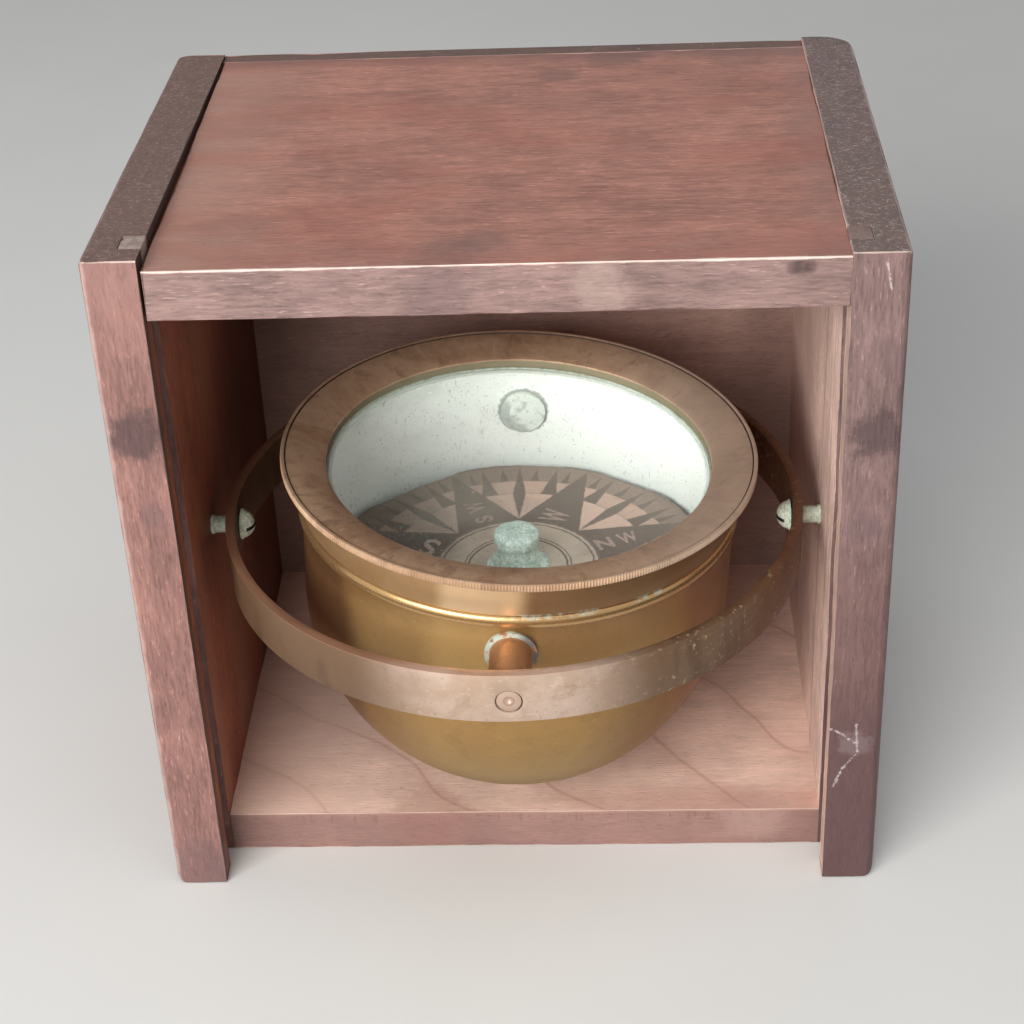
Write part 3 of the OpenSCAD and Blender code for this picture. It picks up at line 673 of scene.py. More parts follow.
class COMPASS_OT_cross_boards(bpy.types.Operator):
    """Make the top board, the bottom board and the back panel"""
    bl_idname = "compass.cross_boards"
    bl_label = "Top, bottom and back"

    def execute(self, context):
        self.top_board()
        self.bottom_board()
        self.back_panel()
        return {"FINISHED"}

    def top_board(self):
        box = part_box("top_board")
        piece = board("top_board", "top_plank", (4.0, 4.0, 6.0), 0.45, 5.2)
        front, back, top = box[0].y / MM, box[1].y / MM, box[1].z / MM
        f = wood("top_plank_wood", ALONG_X, colour_of("top_wood"),
                 ((FRONT, tint(137, 111, 106)), (DOWN, tint(120, 84, 72))), flecks=0.45)
        upper = f.facing(UP)
        drift = (f.grain(26, detail=2.0) - 0.5) * 16
        grey = tint(116, 90, 84)
        f.lay(upper * (f.y + drift).rise(front + 19, front + 6) * 0.3, tint(140, 108, 100))
        f.lay(upper * (f.x + drift).rise(-40, -72) * 0.55, tint(174, 138, 124))
        f.lay(upper * (f.y + drift * 0.6).rise(back - 9, back - 1) * 0.6, grey)
        f.lay(upper * (f.x + drift * 0.5).rise(64, 74) * 0.35, tint(136, 110, 104))
        # Patches where the stain is redder
        ruddy = f.grain(17, (0.35, 1, 1), 31).rise(0.44, 0.66)
        f.lay(upper * ruddy * 0.35, tint(162, 98, 84))
        for x, y, radius, strength in ((13, 61, 7, 0.5), (28, back - 3, 11, 0.45), (-3, -37, 7, 0.4),
                                       (-9.4, -42, 9, 0.45), (60, 70, 13, 0.35), (-59, -29, 12, 0.2)):
            stain(f, (x, y, top), radius, strength, grey)
        for x, radius in ((64.0, 2.2), (65.6, 2.6), (67.4, 2.0)):
            front_stains(f, front, (x, 171.6, radius, 0.5, tint(60, 44, 46), 0.8))
        front_stains(f, front, (-11.6, 165.6, 9, 0.35, tint(102, 82, 84)),
                     (22.8, 167.2, 8, 0.4, tint(178, 156, 146)))
        end_grain(f, ALONG_X, tint(108, 82, 74), tint(160, 138, 128))
        rubbed(f, box, UP, FRONT, 0.62, 0.92, tint(240, 216, 206))
        rubbed(f, box, UP, BACK, 0.5, 0.2, BARE)
        finish_piece(piece, "box", f.done(0.07, gloss=0.35), ("top_board",))

    def bottom_board(self):
        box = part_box("bottom_board")
        piece = board("bottom_board", "bottom_plank", (4.0, 4.0, 6.0), 0.5, 11.7)
        front, top = box[0].y / MM, box[1].z / MM
        f = wood("bottom_plank_wood", ALONG_X, colour_of("bottom_wood"), ((FRONT, tint(144, 111, 103)),),
                 streaks=0.12, bands=0.08, clouds=0.22, flecks=0.15, pores=0.12)
        # Growth lines that run slantwise over the board, counted from a place well outside it
        upper = f.facing(UP)
        spacing, first = 38, 27 - 38 * 8
        field = f.y + f.x * 0.9 + (f.grain(46, detail=2.0, rough=0.35) - 0.5) * 46
        line = abs(field - first).pingpong(spacing / 2)
        f.lay(upper * line.rise(1.2, 0.2) * 0.3, tint(160, 106, 92))
        f.lay(upper * line.rise(9, 0.5) * 0.16, tint(178, 124, 108))
        f.lay(upper * f.y.rise(front + 13, front + 4) * f.x.rise(-10, 40) * 0.4, tint(176, 116, 102))
        f.lay(upper * f.x.rise(-34, -58) * 0.45, tint(252, 214, 196))
        # Short ticks across the front edge
        tick = f.grain(0.8, (1, 1, 0.12), 3, 1.0).rise(0.58, 0.66) * f.z.band(top - 3.2, top - 1.0, 0.5)
        facing = f.facing(FRONT)
        f.lay(facing * tick * 0.35, tint(120, 82, 72))
        f.lay(facing * f.z.rise(top - 1.4, top) * 0.4, tint(176, 142, 128))
        front_stains(f, front, (-24, top - 3, 14, 0.3, tint(146, 100, 92)),
                     (60, 9.5, 11, 0.3, tint(180, 152, 142)))
        end_grain(f, ALONG_X, tint(134, 104, 92), tint(180, 156, 144))
        rubbed(f, box, UP, FRONT, 0.5, 0.45, tint(232, 200, 184))
        finish_piece(piece, "box", f.done(0.05, gloss=0.35), ("bottom_board",))

    def back_panel(self):
        piece = board("back_panel", "back_plank", (8.0, 6.0, 8.0), 0.35, 2.9)
        f = wood("back_plank_wood", ALONG_X, colour_of("back_wood"),
                 ((BACK, tint(128, 96, 86)), (UP, tint(104, 82, 76))), streaks=0.16, bands=0.16, flecks=0.3,
                 pores=0.2)
        f.lay(f.grain(1.2, shift=5, detail=1.0).rise(0.70, 0.76) * 0.6, tint(190, 168, 152))
        # Painted shade darkens the panel towards its left and right ends
        f.lay(f.x.rise(-30, -74) * 0.3, tint(110, 82, 74))
        f.lay(f.x.rise(56, 70) * 0.4, tint(112, 84, 76))
        end_grain(f, ALONG_X, tint(100, 80, 72), tint(150, 130, 120))
        finish_piece(piece, "box", f.done(0.05, gloss=0.3), ("back_panel",))


class COMPASS_OT_box_fittings(bpy.types.Operator):
    """Make the groove plugs, and finish the brads and pins"""
    bl_idname = "compass.box_fittings"
    bl_label = "Plugs, brads and pins"

    def execute(self, context):
        piece = board("groove_plugs", "groove_fillings", (2.0, 1.5, 2.5), 0.3, 6.6)
        f = wood("groove_filling_wood", ALONG_X, tint(158, 140, 132), flecks=0.5)
        f.shade(0.8 + f.grain(1.8, detail=4.0).rise(0.3, 0.7) * 0.45)
        f.lay(f.x.rise(0, 10) * 0.75, tint(112, 92, 86))
        f.shade(1.0 - f.x.rise(0, -10) * 0.12)
        hole = f.distance((-82.0, -37.6, 176.2)) + (f.grain(1.2) - 0.5) * 1.2
        f.lay(hole.rise(1.5, 0.8) * 0.85, tint(48, 38, 36))
        finish_piece(piece, "box", f.done(0.08, gloss=0.3), ("groove_plugs",))
        iron = plain("nail_iron", tint(84, 76, 72), tint(120, 96, 82), 1.5, 0.6, 0.8)
        paint_nodes(iron, "joint_brads", "back_pins")
        return {"FINISHED"}


# the compass

def bowl_outline():
    """The bowl's section, from its bottom outside, round the flange and the neck, to its bottom inside."""
    outer = arc((0, -STRAIGHT_H), (BOWL_R, BOWL_R), -90, 0, 30)
    flange_mid = (FLANGE_Z + FLANGE_TOP) / 2
    flange = arc((BOWL_R, flange_mid), (FLANGE_R - BOWL_R, flange_mid - FLANGE_Z), -88, 88, 10)
    neck = [(NECK_R, FLANGE_TOP), (NECK_R, NECK_TOP), (BORE_R, NECK_TOP), (BORE_R, GLASS_Z),
            (SEAT_R, GLASS_Z), (SEAT_R, SEAT_Z), (BORE_R, SEAT_Z)]
    inner = arc((0, -STRAIGHT_H), (BORE_R, BORE_R), 0, -90, 24)
    return outer + [(BOWL_R, -8), (BOWL_R, 0), (BOWL_R, FLANGE_Z - 0.05)] + flange + neck + inner


def white_paint(f):
    """Old white paint inside the bowl, with grey smudges, dark nicks and a dirty ring round each nut."""
    low_part = f.distance((0, 0, -STRAIGHT_H)).rise(BORE_R + 0.35, BORE_R + 0.25)
    high_part = f.radius.rise(BORE_R + 0.35, BORE_R + 0.25) * f.z.band(-STRAIGHT_H, SEAT_Z - 0.1, 0.05)
    white = colour_of("paint")
    smudge = f.grain(7, detail=5.0, rough=0.66)
    white = f.mix(smudge.rise(0.56, 0.78) * 0.3, white, tint(184, 190, 184))
    high = f.z + (f.grain(5, shift=8, detail=4.0) - 0.5) * 12
    left = f.x.rise(20, -30)
    white = f.mix(high.rise(4, 12) * left * 0.25, white, tint(184, 192, 186))
    nick = f.grain(1.0, (1.0, 1.0, 0.38), 17, 1.0, 0.4, 2.4).rise(0.67, 0.71)
    white = f.mix(nick * f.grain(9, shift=21).rise(0.44, 0.56) * 0.5, white, tint(112, 114, 112))
    white = f.mix(f.grain(1.1, shift=29, detail=1.0).rise(0.70, 0.75) * 0.3, white, tint(132, 136, 132))
    nut_gap = f.distance((0, BORE_R, -TRUNNION_DROP), f.join(f.x, abs(f.y), f.z))
    nut_gap = nut_gap + (f.grain(1.4, detail=3.0) - 0.5) * 1.8
    white = f.mix(nut_gap.band(NUT_R - 0.8, NUT_R + 0.5, 0.7) * 0.7, white, tint(112, 116, 112))
    white = f.mix(f.z.rise(-20.0, -40.0) * 0.6, white, tint(120, 118, 112))
    f.lay(low_part.most(high_part), white, 0.55, 0.0)


class COMPASS_OT_bowl(bpy.types.Operator):
    """Turn the brass bowl, painted white inside"""
    bl_idname = "compass.bowl"
    bl_label = "Bowl"

    def execute(self, context):
        piece = turned("bowl", bowl_outline(), 180)
        piece.data.transform(BOWL_PLACE)
        f = brass("bowl_brass", IN_BOWL, (colour_of("bowl_brass"), tint(150, 112, 66), tint(96, 68, 44)),
                  metal=0.62, rough=0.40, mottle=0.45, lathe=0.10, specks=0.3)
        # Painted reflections make it browner to the right of the trunnion and darker at the sides, edges and
        # bottom, with a painted highlight left of the middle; it is dull and greenish low down
        front = f.y.rise(0, -20)
        f.lay(f.x.rise(3, 9) * front * f.z.rise(-12, 0) * 0.5, tint(138, 98, 58))
        f.lay(f.z.rise(-18, -55) * 0.4, tint(146, 130, 84), 0.5)
        f.lay(f.z.rise(-44, -62) * 0.5, tint(96, 80, 52), 0.55)
        f.lay(abs(f.x).rise(14, 36) * front * f.z.rise(-6, -20) * 0.6, tint(112, 76, 44))
        f.lay((f.x + f.z * 0.1).rise(-37, -42) * f.y.rise(20, 0) * 0.7, tint(106, 70, 52))
        f.lay(f.x.rise(38, 44) * f.y.rise(20, 0) * 0.5, tint(116, 70, 50))
        f.lay(f.x.band(-15, -5, 8) * front * f.z.rise(-22, -8) * 0.45, tint(208, 168, 106))
        # The rounded flange is polished and glossy, and its lighter tone is partly a painted highlight
        bead = f.radius.rise(BOWL_R + 0.3, BOWL_R + 0.5) * f.z.band(6.6, 9.6, 0.2)
        f.lay(bead * 0.75, tint(204, 166, 116), 0.22, 0.8)
        f.lay(f.distance((3, -38, -54)).rise(9, 5) * f.grain(1.0, (0.3, 1, 1), 3).rise(0.62, 0.7) * 0.8,
              tint(206, 188, 140), 0.5, 0.3)
        joint_crust(f, f.z.band(9.3, 9.9, 0.3) * f.y.rise(0, -10))
        white_paint(f)
        finish_piece(piece, "bowl", f.done(0.05), ("bowl_shell",), smooth=50)
        return {"FINISHED"}


def cover_outline():
    """The cover ring's section: a dished top, a fine groove, the milled rim and the skirt."""
    low, reach = COVER_Z + COVER_T, RIM_R - 1.25 - COVER_R
    rise = RIM_Z - 0.4 - low
    dish = [(COVER_R + reach * t / 10, low + rise * math.sin(math.radians(9 * t))) for t in range(1, 11)]
    head = [(COVER_R, COVER_Z), (COVER_R, 18.4), (COVER_R + 0.1, 18.76), (COVER_R + 0.35, 18.93)]
    edge = [(RIM_R - 1.15, 21.12), (RIM_R - 1.0, 21.5), (RIM_R - 0.8, RIM_Z), (RIM_R - 0.3, RIM_Z),
            (RIM_R - 0.14, 21.52), (RIM_R - 0.04, 21.38)]
    teeth = [(RIM_R, 21.2), (RIM_R, 20.6), (RIM_R, RIM_LOW + 0.3), (RIM_R - 0.06, RIM_LOW + 0.12)]
    under = [(RIM_R - 0.24, RIM_LOW + 0.03), (RIM_R - 0.6, RIM_LOW), (SKIRT_OUT + 0.65, RIM_LOW),
             (SKIRT_OUT + 0.25, 19.58), (SKIRT_OUT + 0.04, 19.3)]
    skirt = [(SKIRT_OUT, 18.9), (SKIRT_OUT, 14.5), (SKIRT_OUT, 10.35), (SKIRT_OUT - 0.08, 10.08),
             (SKIRT_OUT - 0.25, 9.94), (SKIRT_OUT - 0.5, FLANGE_TOP), (SKIRT_IN, FLANGE_TOP)]
    return head + dish + edge + teeth + under + skirt + [(SKIRT_IN, COVER_Z), (COVER_R, COVER_Z)]


class COMPASS_OT_cover_ring(bpy.types.Operator):
    """Turn the cover ring and mill its rim"""
    bl_idname = "compass.cover_ring"
    bl_label = "Cover ring"

    def execute(self, context):
        count = sizes().knurl_count
        piece = turned("cover", cover_outline(), 2 * count)
        for vertex in piece.data.vertices:
            radius, z = math.hypot(vertex.co.x, vertex.co.y), vertex.co.z / MM
            column = round(math.atan2(vertex.co.y, vertex.co.x) / TAU * 2 * count)
            if column % 2 and radius > (RIM_R - 0.1) * MM and RIM_LOW < z < RIM_Z:
                draw_in(vertex, 1 - sizes().knurl_depth / radius)
        piece.data.transform(BOWL_PLACE)
        f = brass("cover_brass", IN_BOWL, (colour_of("cover_brass"), tint(164, 126, 96), tint(116, 86, 64)),
                  metal=0.42, rough=0.46, mottle=0.75, specks=0.55, scratches=0.6, lathe=0.12)
        # Wiped marks across the dished top
        across = f.join(f.x / f.radius * 16, f.y / f.radius * 16, f.radius * 0.12)
        wipe = f.grain(1.0, vector=across, detail=3.0, warp=0.5)
        top = f.z.rise(18.2, 18.9)
        f.lay(top * wipe.rise(0.58, 0.72) * 0.4, tint(222, 192, 160))
        f.lay(top * wipe.rise(0.44, 0.3) * 0.4, tint(118, 90, 68))
        f.lay(top * f.x.rise(16, 46) * 0.5, tint(200, 184, 170), 0.5, 0.36)
        # A dark line painted along the fine groove, as shade
        f.lay(top * f.radius.band(RIM_R - 1.3, RIM_R - 1.05, 0.1), tint(60, 42, 32), 0.7, 0.1)
        # The upright wall round the glass is dull and olive grey
        wall = f.radius.rise(COVER_R + 0.25, COVER_R + 0.1) * f.z.rise(18.6, 18.3)
        f.lay(wall * 0.9, tint(128, 124, 98), 0.62, 0.15)
        # The skirt is cleaner and yellower, with a painted highlight left of the middle and a painted
        # reflection that makes it browner right of the trunnion
        skirt = f.z.rise(19.6, 19.0) * f.radius.rise(51, 52)
        front = f.y.rise(0, -20)
        f.lay(skirt * 0.75, tint(168, 132, 86), 0.36, 0.62)
        f.lay(skirt * f.x.band(-14, 0, 5) * front * 0.75, tint(240, 208, 166), 0.3)
        f.lay(skirt * f.x.rise(1, 6) * front * 0.65, tint(116, 80, 50))
        # The milled teeth are lighter towards the front, a painted highlight
        ridge = f.z.band(RIM_LOW, RIM_Z, 0.2) * f.radius.rise(RIM_R - 0.1, RIM_R - 0.02)
        f.lay(ridge * f.y.rise(0, -35) * 0.7, tint(216, 184, 148), 0.4, 0.5)
        joint_crust(f, f.z.band(9.8, 10.3, 0.35) * front)
        finish_piece(piece, "bowl", f.done(0.05), ("cover_ring",), smooth=35)
        return {"FINISHED"}


class COMPASS_OT_glazing(bpy.types.Operator):
    """Finish the glass and its putty"""
    bl_idname = "compass.glazing"
    bl_label = "Glass and putty"

    def execute(self, context):
        f = Finish("old_glass", *IN_BOWL)
        haze = f.grain(14, detail=4.0).rise(0.45, 0.85)
        # Dust gathers towards the front left
        corner = f.distance((-24, -34, 16)).rise(20, 8)
        dust = f.grain(0.8, shift=9, detail=1.0).rise(0.72, 0.75)
        dust = haze * 0.05 + corner * f.grain(0.6, shift=5, detail=2.0).rise(0.66, 0.71) * 0.7 + dust * 0.3
        edge = f.radius.rise(COVER_R - 1.6, COVER_R - 0.2)
        dust = (dust + edge * 0.55).least(1)
        clear = f.node("ShaderNodeBsdfPrincipled", {}, {
            "Base Color": (0.97, 1.0, 0.99, 1.0), "Roughness": 0.02, "IOR": 1.45, "Transmission Weight": 1.0})
        dirty = f.node("ShaderNodeBsdfPrincipled", {}, {"Base Color": tint(214, 224, 214), "Roughness": 0.6})
        glazed = f.node("ShaderNodeMixShader", {}, {0: dust, 1: clear, 2: dirty})
        shadow = f.node("ShaderNodeLightPath", out="Is Shadow Ray")
        open_air = f.node("ShaderNodeBsdfTransparent", {}, {"Color": (0.96, 0.98, 0.97, 1.0)})
        paint_nodes(f.close(f.node("ShaderNodeMixShader", {}, {0: shadow, 1: glazed, 2: open_air})), "glass")
        putty = plain("old_putty", tint(196, 208, 196), tint(158, 166, 148), 2.0, 0.7, 0.0, 0.08)
        paint_nodes(putty, "glazing_putty")
        return {"FINISHED"}


class COMPASS_OT_gimbal_ring(bpy.types.Operator):
    """Make the gimbal ring from its strip of brass"""
    bl_idname = "compass.gimbal_ring"
    bl_label = "Gimbal ring"

    def execute(self, context):
        piece = copied("gimbal_ring", "ring_strip")
        soften(piece, 0.3, 2)
        f = brass("ring_brass", IN_RING, (tint(195, 171, 155), tint(160, 131, 104), tint(118, 92, 68)),
                  metal=0.42, rough=0.46, mottle=0.55, specks=0.5, scratches=0.5, lathe=0.05)
        # Darker and olive away from the front, as painted shade, and mottled and speckled there; browner at
        # the right, and a coppery painted highlight on the upper edge towards the left
        side = abs(f.x).rise(13, 36)
        f.lay(side * 0.92, tint(100, 72, 46))
        f.lay(side * f.grain(9, (1, 1, 0.3), 44).rise(0.48, 0.64) * 0.5, tint(76, 52, 34))
        f.lay(f.x.rise(42, 64) * 0.45, tint(98, 54, 30))
        speckle = f.grain(1.3, shift=15, detail=3.0).rise(0.56, 0.7) * f.grain(8, shift=3).rise(0.45, 0.6)
        f.lay(f.x.rise(8, 24) * speckle * 0.6, tint(206, 182, 148), 0.6)
        f.lay(f.z.rise(6.2, 6.45) * f.x.rise(30, -10) * 0.3, tint(206, 150, 120), 0.35, 0.6)
        # A dark line round the journal's end, with painted shade making it darkest at its two sides
        gap = f.distance((BOWL_OFF - 0.045, 0, -TRUNNION_DROP), f.join(f.x, 0.0, f.z))
        line = gap.band(JOURNAL_R, JOURNAL_R + 0.28, 0.08)
        shaded_sides = (abs(f.x - 0.4) - 0.6).rise(0.4, 2.4)
        f.lay(line * (0.35 + shaded_sides * 0.6), tint(54, 38, 32), 0.7, 0.1)
        finish_piece(piece, "ring", f.done(0.05), ("gimbal_ring",), smooth=30)
        return {"FINISHED"}


class COMPASS_OT_bowl_pivots(bpy.types.Operator):
    """Make the bowl's two trunnions and their nuts"""
    bl_idname = "compass.bowl_pivots"
    bl_label = "Trunnions"

    def execute(self, context):
        f = brass("trunnion_brass", IN_BOWL, (tint(196, 148, 104), tint(164, 118, 84), tint(104, 78, 62)),
                  metal=0.65, rough=0.28, mottle=0.5)
        out = abs(f.y)
        rise = f.z + TRUNNION_DROP
        reach = (f.x * f.x + rise * rise) ** 0.5
        # A crust on the collar, thick and pale at its upper left and blue-grey at its right
        collar = reach.rise(5.0, 5.2) * out.rise(55.5, 55.0)
        tone = f.mix((f.x - rise * 0.5).rise(-2.5, 1.5), tint(190, 204, 194), tint(100, 108, 110))
        collar = collar * f.grain(1.5, detail=4.0).rise(0.34, 0.52) * rise.rise(-4.5, -1.5)
        f.lay(collar * 0.9, tone, 0.75, 0.0)
        # The journal's end is as dull as the ring, with the lathe centre's mark: a dark ring round a painted
        # highlight
        journal = out.rise(JOURNAL_END - 0.2, JOURNAL_END + 0.2)
        f.lay(journal, tint(186, 158, 140), 0.46, 0.4)
        f.lay(journal * reach.band(1.0, 1.25, 0.15) * 0.5, tint(120, 96, 84))
        f.lay(journal * reach.rise(0.6, 0.3) * 0.5, tint(222, 204, 190))
        coppery = f.done(0.06)
        for node, name in (("trunnion_front", "front_stud"), ("trunnion_rear", "rear_stud")):
            piece = copied(node, name)
            soften(piece, 0.22, 2)
            finish_piece(piece, "bowl", coppery, (node,), smooth=35)
        self.nuts()
        self.paint_skins()
        return {"FINISHED"}

    def nuts(self):
        """The two nuts inside the bowl, painted over."""
        piece = copied("trunnion_nuts", "painted_nuts")
        soften(piece, 0.3, 2)
        f = Finish("nut_paint", *IN_BOWL)
        f.colour, f.rough = tint(228, 234, 228), 0.6
        f.lay(f.grain(2.2, detail=4.0).rise(0.5, 0.7) * 0.6, tint(150, 156, 150))
        shadow = f.x + f.z * 0.7 + (f.grain(1.5) - 0.5) * 2
        f.lay(shadow.rise(-1.5, -3.5) * 0.5, tint(128, 134, 128))
        f.height = f.grain(0.8)
        finish_piece(piece, "bowl", f.done(0.1), ("trunnion_nuts",), smooth=35)

    def paint_skins(self):
        """Covers the trunnions' ends inside the bowl with a thin skin of paint."""
        f = Finish("stud_paint", *IN_BOWL)
        f.colour, f.rough = tint(230, 236, 230), 0.6
        f.lay(f.grain(1.6, detail=4.0).rise(0.48, 0.66) * 0.55, tint(156, 162, 156))
        f.height = f.grain(0.8)
        finish = f.done(0.12)
        outline = [(0, 0), (3.5, 0), (3.62, 0.06), (3.6, 0.16), (2.6, 0.3), (0, 0.34), (0, 0)]
        face = (BORE_R - 1.4) * MM
        for side, name in ((-1, "front_skin"), (1, "rear_skin")):
            piece = turned(name, outline, 32)
            lie = Matrix.Rotation(side * TAU / 4, 4, "X")
            lie = Matrix.Translation((0, side * face, -TRUNNION_DROP * MM)) @ lie
            piece.data.transform(BOWL_PLACE @ lie)
            finish_piece(piece, "bowl", finish)


class COMPASS_OT_box_pivots(bpy.types.Operator):
    """Make the pivot screws with their washers and spacers"""
    bl_idname = "compass.box_pivots"
    bl_label = "Pivot screws"

    def execute(self, context):
        pale = crusted("screw_crust", ((0, 0, 0), (0, 0, 0)), tint(226, 234, 214), tint(176, 190, 170),
                       tint(186, 168, 132), bare=0.24, rough=0.6, lumps=0.08, slot_z=RING_MID.z / MM)
        for node, name, edge in (("pivot_screw_left", "left_screw", 0.18),
                                 ("pivot_screw_right", "right_screw", 0.18),
                                 ("spacer_left", "left_spacer", 0.1), ("spacer_right", "right_spacer", 0.1),
                                 ("pivot_washers", "washers", 0.12)):
            piece = copied(node, name)
            soften(piece, edge, 2)
            finish_piece(piece, "box", pale, (node,), smooth=35)
        return {"FINISHED"}


# Radii of the print, in mm: the points' inner tips, the bands between them, and the rings in the middle
INNER_TIP, FIRST_ARC, SECOND_ARC, SMALL_TIP, OUTER_TIP = 22.2, 34.6, 41.0, 47.6, 48.3
DISC_R = 21.0
# How far out the letters stand, and how wide they are at most, in mm
SINGLE_AT, PAIR_AT, SINGLE_WIDTH, PAIR_WIDTH = 24.9, (24.0, 30.6), 5.4, 5.2
FOLD = TAU / 16
# Worn places on the card's edge: the middle and half the width in degrees, and the depth in mm
WORN = ((127, 17, 1.7), (55, 11, 1.3), (84, 9, 0.6), (250, 14, 0.8), (330, 10, 1.0))


def polar(radius, degrees):
    return Vector((radius * math.cos(math.radians(degrees)), radius * math.sin(math.radians(degrees))))


def printed_card():
    """The card's print, from the distance and angle to the nearest of the eight half winds."""
    ground, pink = colour_of("card_ground"), colour_of("card_pink")
    f = Finish("card_print", tuple(CARD_MID), (0, 0, CARD_HEADING))
    shake_x = (f.grain(1.4, detail=2.0) - 0.5) * 0.8
    shake_y = (f.grain(1.4, shift=9, detail=2.0) - 0.5) * 0.8
    x, y = f.x + shake_x, f.y + shake_y
    radius = (x * x + y * y) ** 0.5
    angle = f.node("ShaderNodeMath", {"operation": "ARCTAN2"}, {0: y, 1: x})
    fold = (angle + (TAU + FOLD)).pingpong(FOLD)
    along = radius * f.node("ShaderNodeMath", {"operation": "COSINE"}, {0: fold})
    off = radius * f.node("ShaderNodeMath", {"operation": "SINE"}, {0: fold})

    def beyond(first, second):
        """How far the point lies to the left of the line between two polar points, in mm."""
        p = polar(*first)
        d = (polar(*second) - p).normalized()
        return (off - p.y) * d.x - (along - p.x) * d.y

    def inside(value, width=0.2):
        return value.rise(-width, width)

    def tooth(base, low, high, tip):
        """A small dark triangle that stands on an arc, from its two base angles and the angle of its tip."""
        return (inside(beyond((base, low), (SMALL_TIP, tip)))
                * inside(0 - beyond((base, high), (SMALL_TIP, tip))))

    point = inside(beyond((INNER_TIP, 0), (OUTER_TIP, 22.5)))
    waist = (FIRST_ARC, 2.96)
    diamond = inside(0 - beyond((INNER_TIP, 0), waist)) * inside(0 - beyond(waist, (OUTER_TIP, 0)))
    second, third = (radius.rise(arc_r - 0.1, arc_r + 0.1) for arc_r in (FIRST_ARC, SECOND_ARC))
    small = tooth(SECOND_ARC, 4.1, 7.4, 5.7).most(tooth(SECOND_ARC, 15.6, 18.4, 17.0))
    dark = point.most(diamond).most(tooth(FIRST_ARC, 9.3, 16.6, 12.4) * second).most(small * third)
    dark = dark.most(radius.rise(48.2, 48.5) * 0.5)
    f.colour, f.rough = pink, 0.72
    f.lay(second * 0.35, tint(166, 140, 128))
    f.lay(third, tint(158, 140, 131))
    f.lay(dark, ground)
    line = abs(radius - FIRST_ARC).rise(0.28, 0.12) + abs(radius - SECOND_ARC).rise(0.28, 0.12)
    f.lay(line * 0.4, ground)
    f.lay(radius.rise(DISC_R, DISC_R - 0.2), tint(214, 196, 182))
    for at_radius, width in ((20.7, 0.16), (19.5, 0.22), (13.6, 0.16), (12.6, 0.26)):
        f.lay(abs(radius - at_radius).rise(width * 1.6, width * 0.5) * 0.8, tint(92, 78, 70))
    # Age: grime that blurs the print, a pale bloom, specks and a worn, greyer rim
    grime = f.grain(9, shift=3, detail=4.0, rough=0.65)
    f.lay(grime.rise(0.45, 0.75) * 0.3, tint(112, 100, 92))
    f.lay(f.grain(2.2, shift=17, detail=4.0, rough=0.7).rise(0.55, 0.8) * 0.25, tint(178, 168, 158))
    f.lay(f.grain(0.8, shift=27, detail=2.0).rise(0.71, 0.76) * 0.6, tint(206, 196, 184))
    f.lay(radius.rise(45, 49) * 0.3, tint(140, 128, 120))
    # A painted shadow of the cover ring darkens the south side, with a pale haze towards the south-west
    rim_shadow = f.distance((-36, 2, CARD_Z)) + (f.grain(8, shift=6) - 0.5) * 14
    f.lay(rim_shadow.rise(28, 8) * 0.55, tint(70, 67, 60))
    f.lay(f.distance((-24, 23, CARD_Z)).rise(20, 6) * 0.3, tint(184, 176, 166))
    f.height = f.grain(0.8, shift=2) + grime * 0.4
    return f.done(0.03, gloss=0.3)


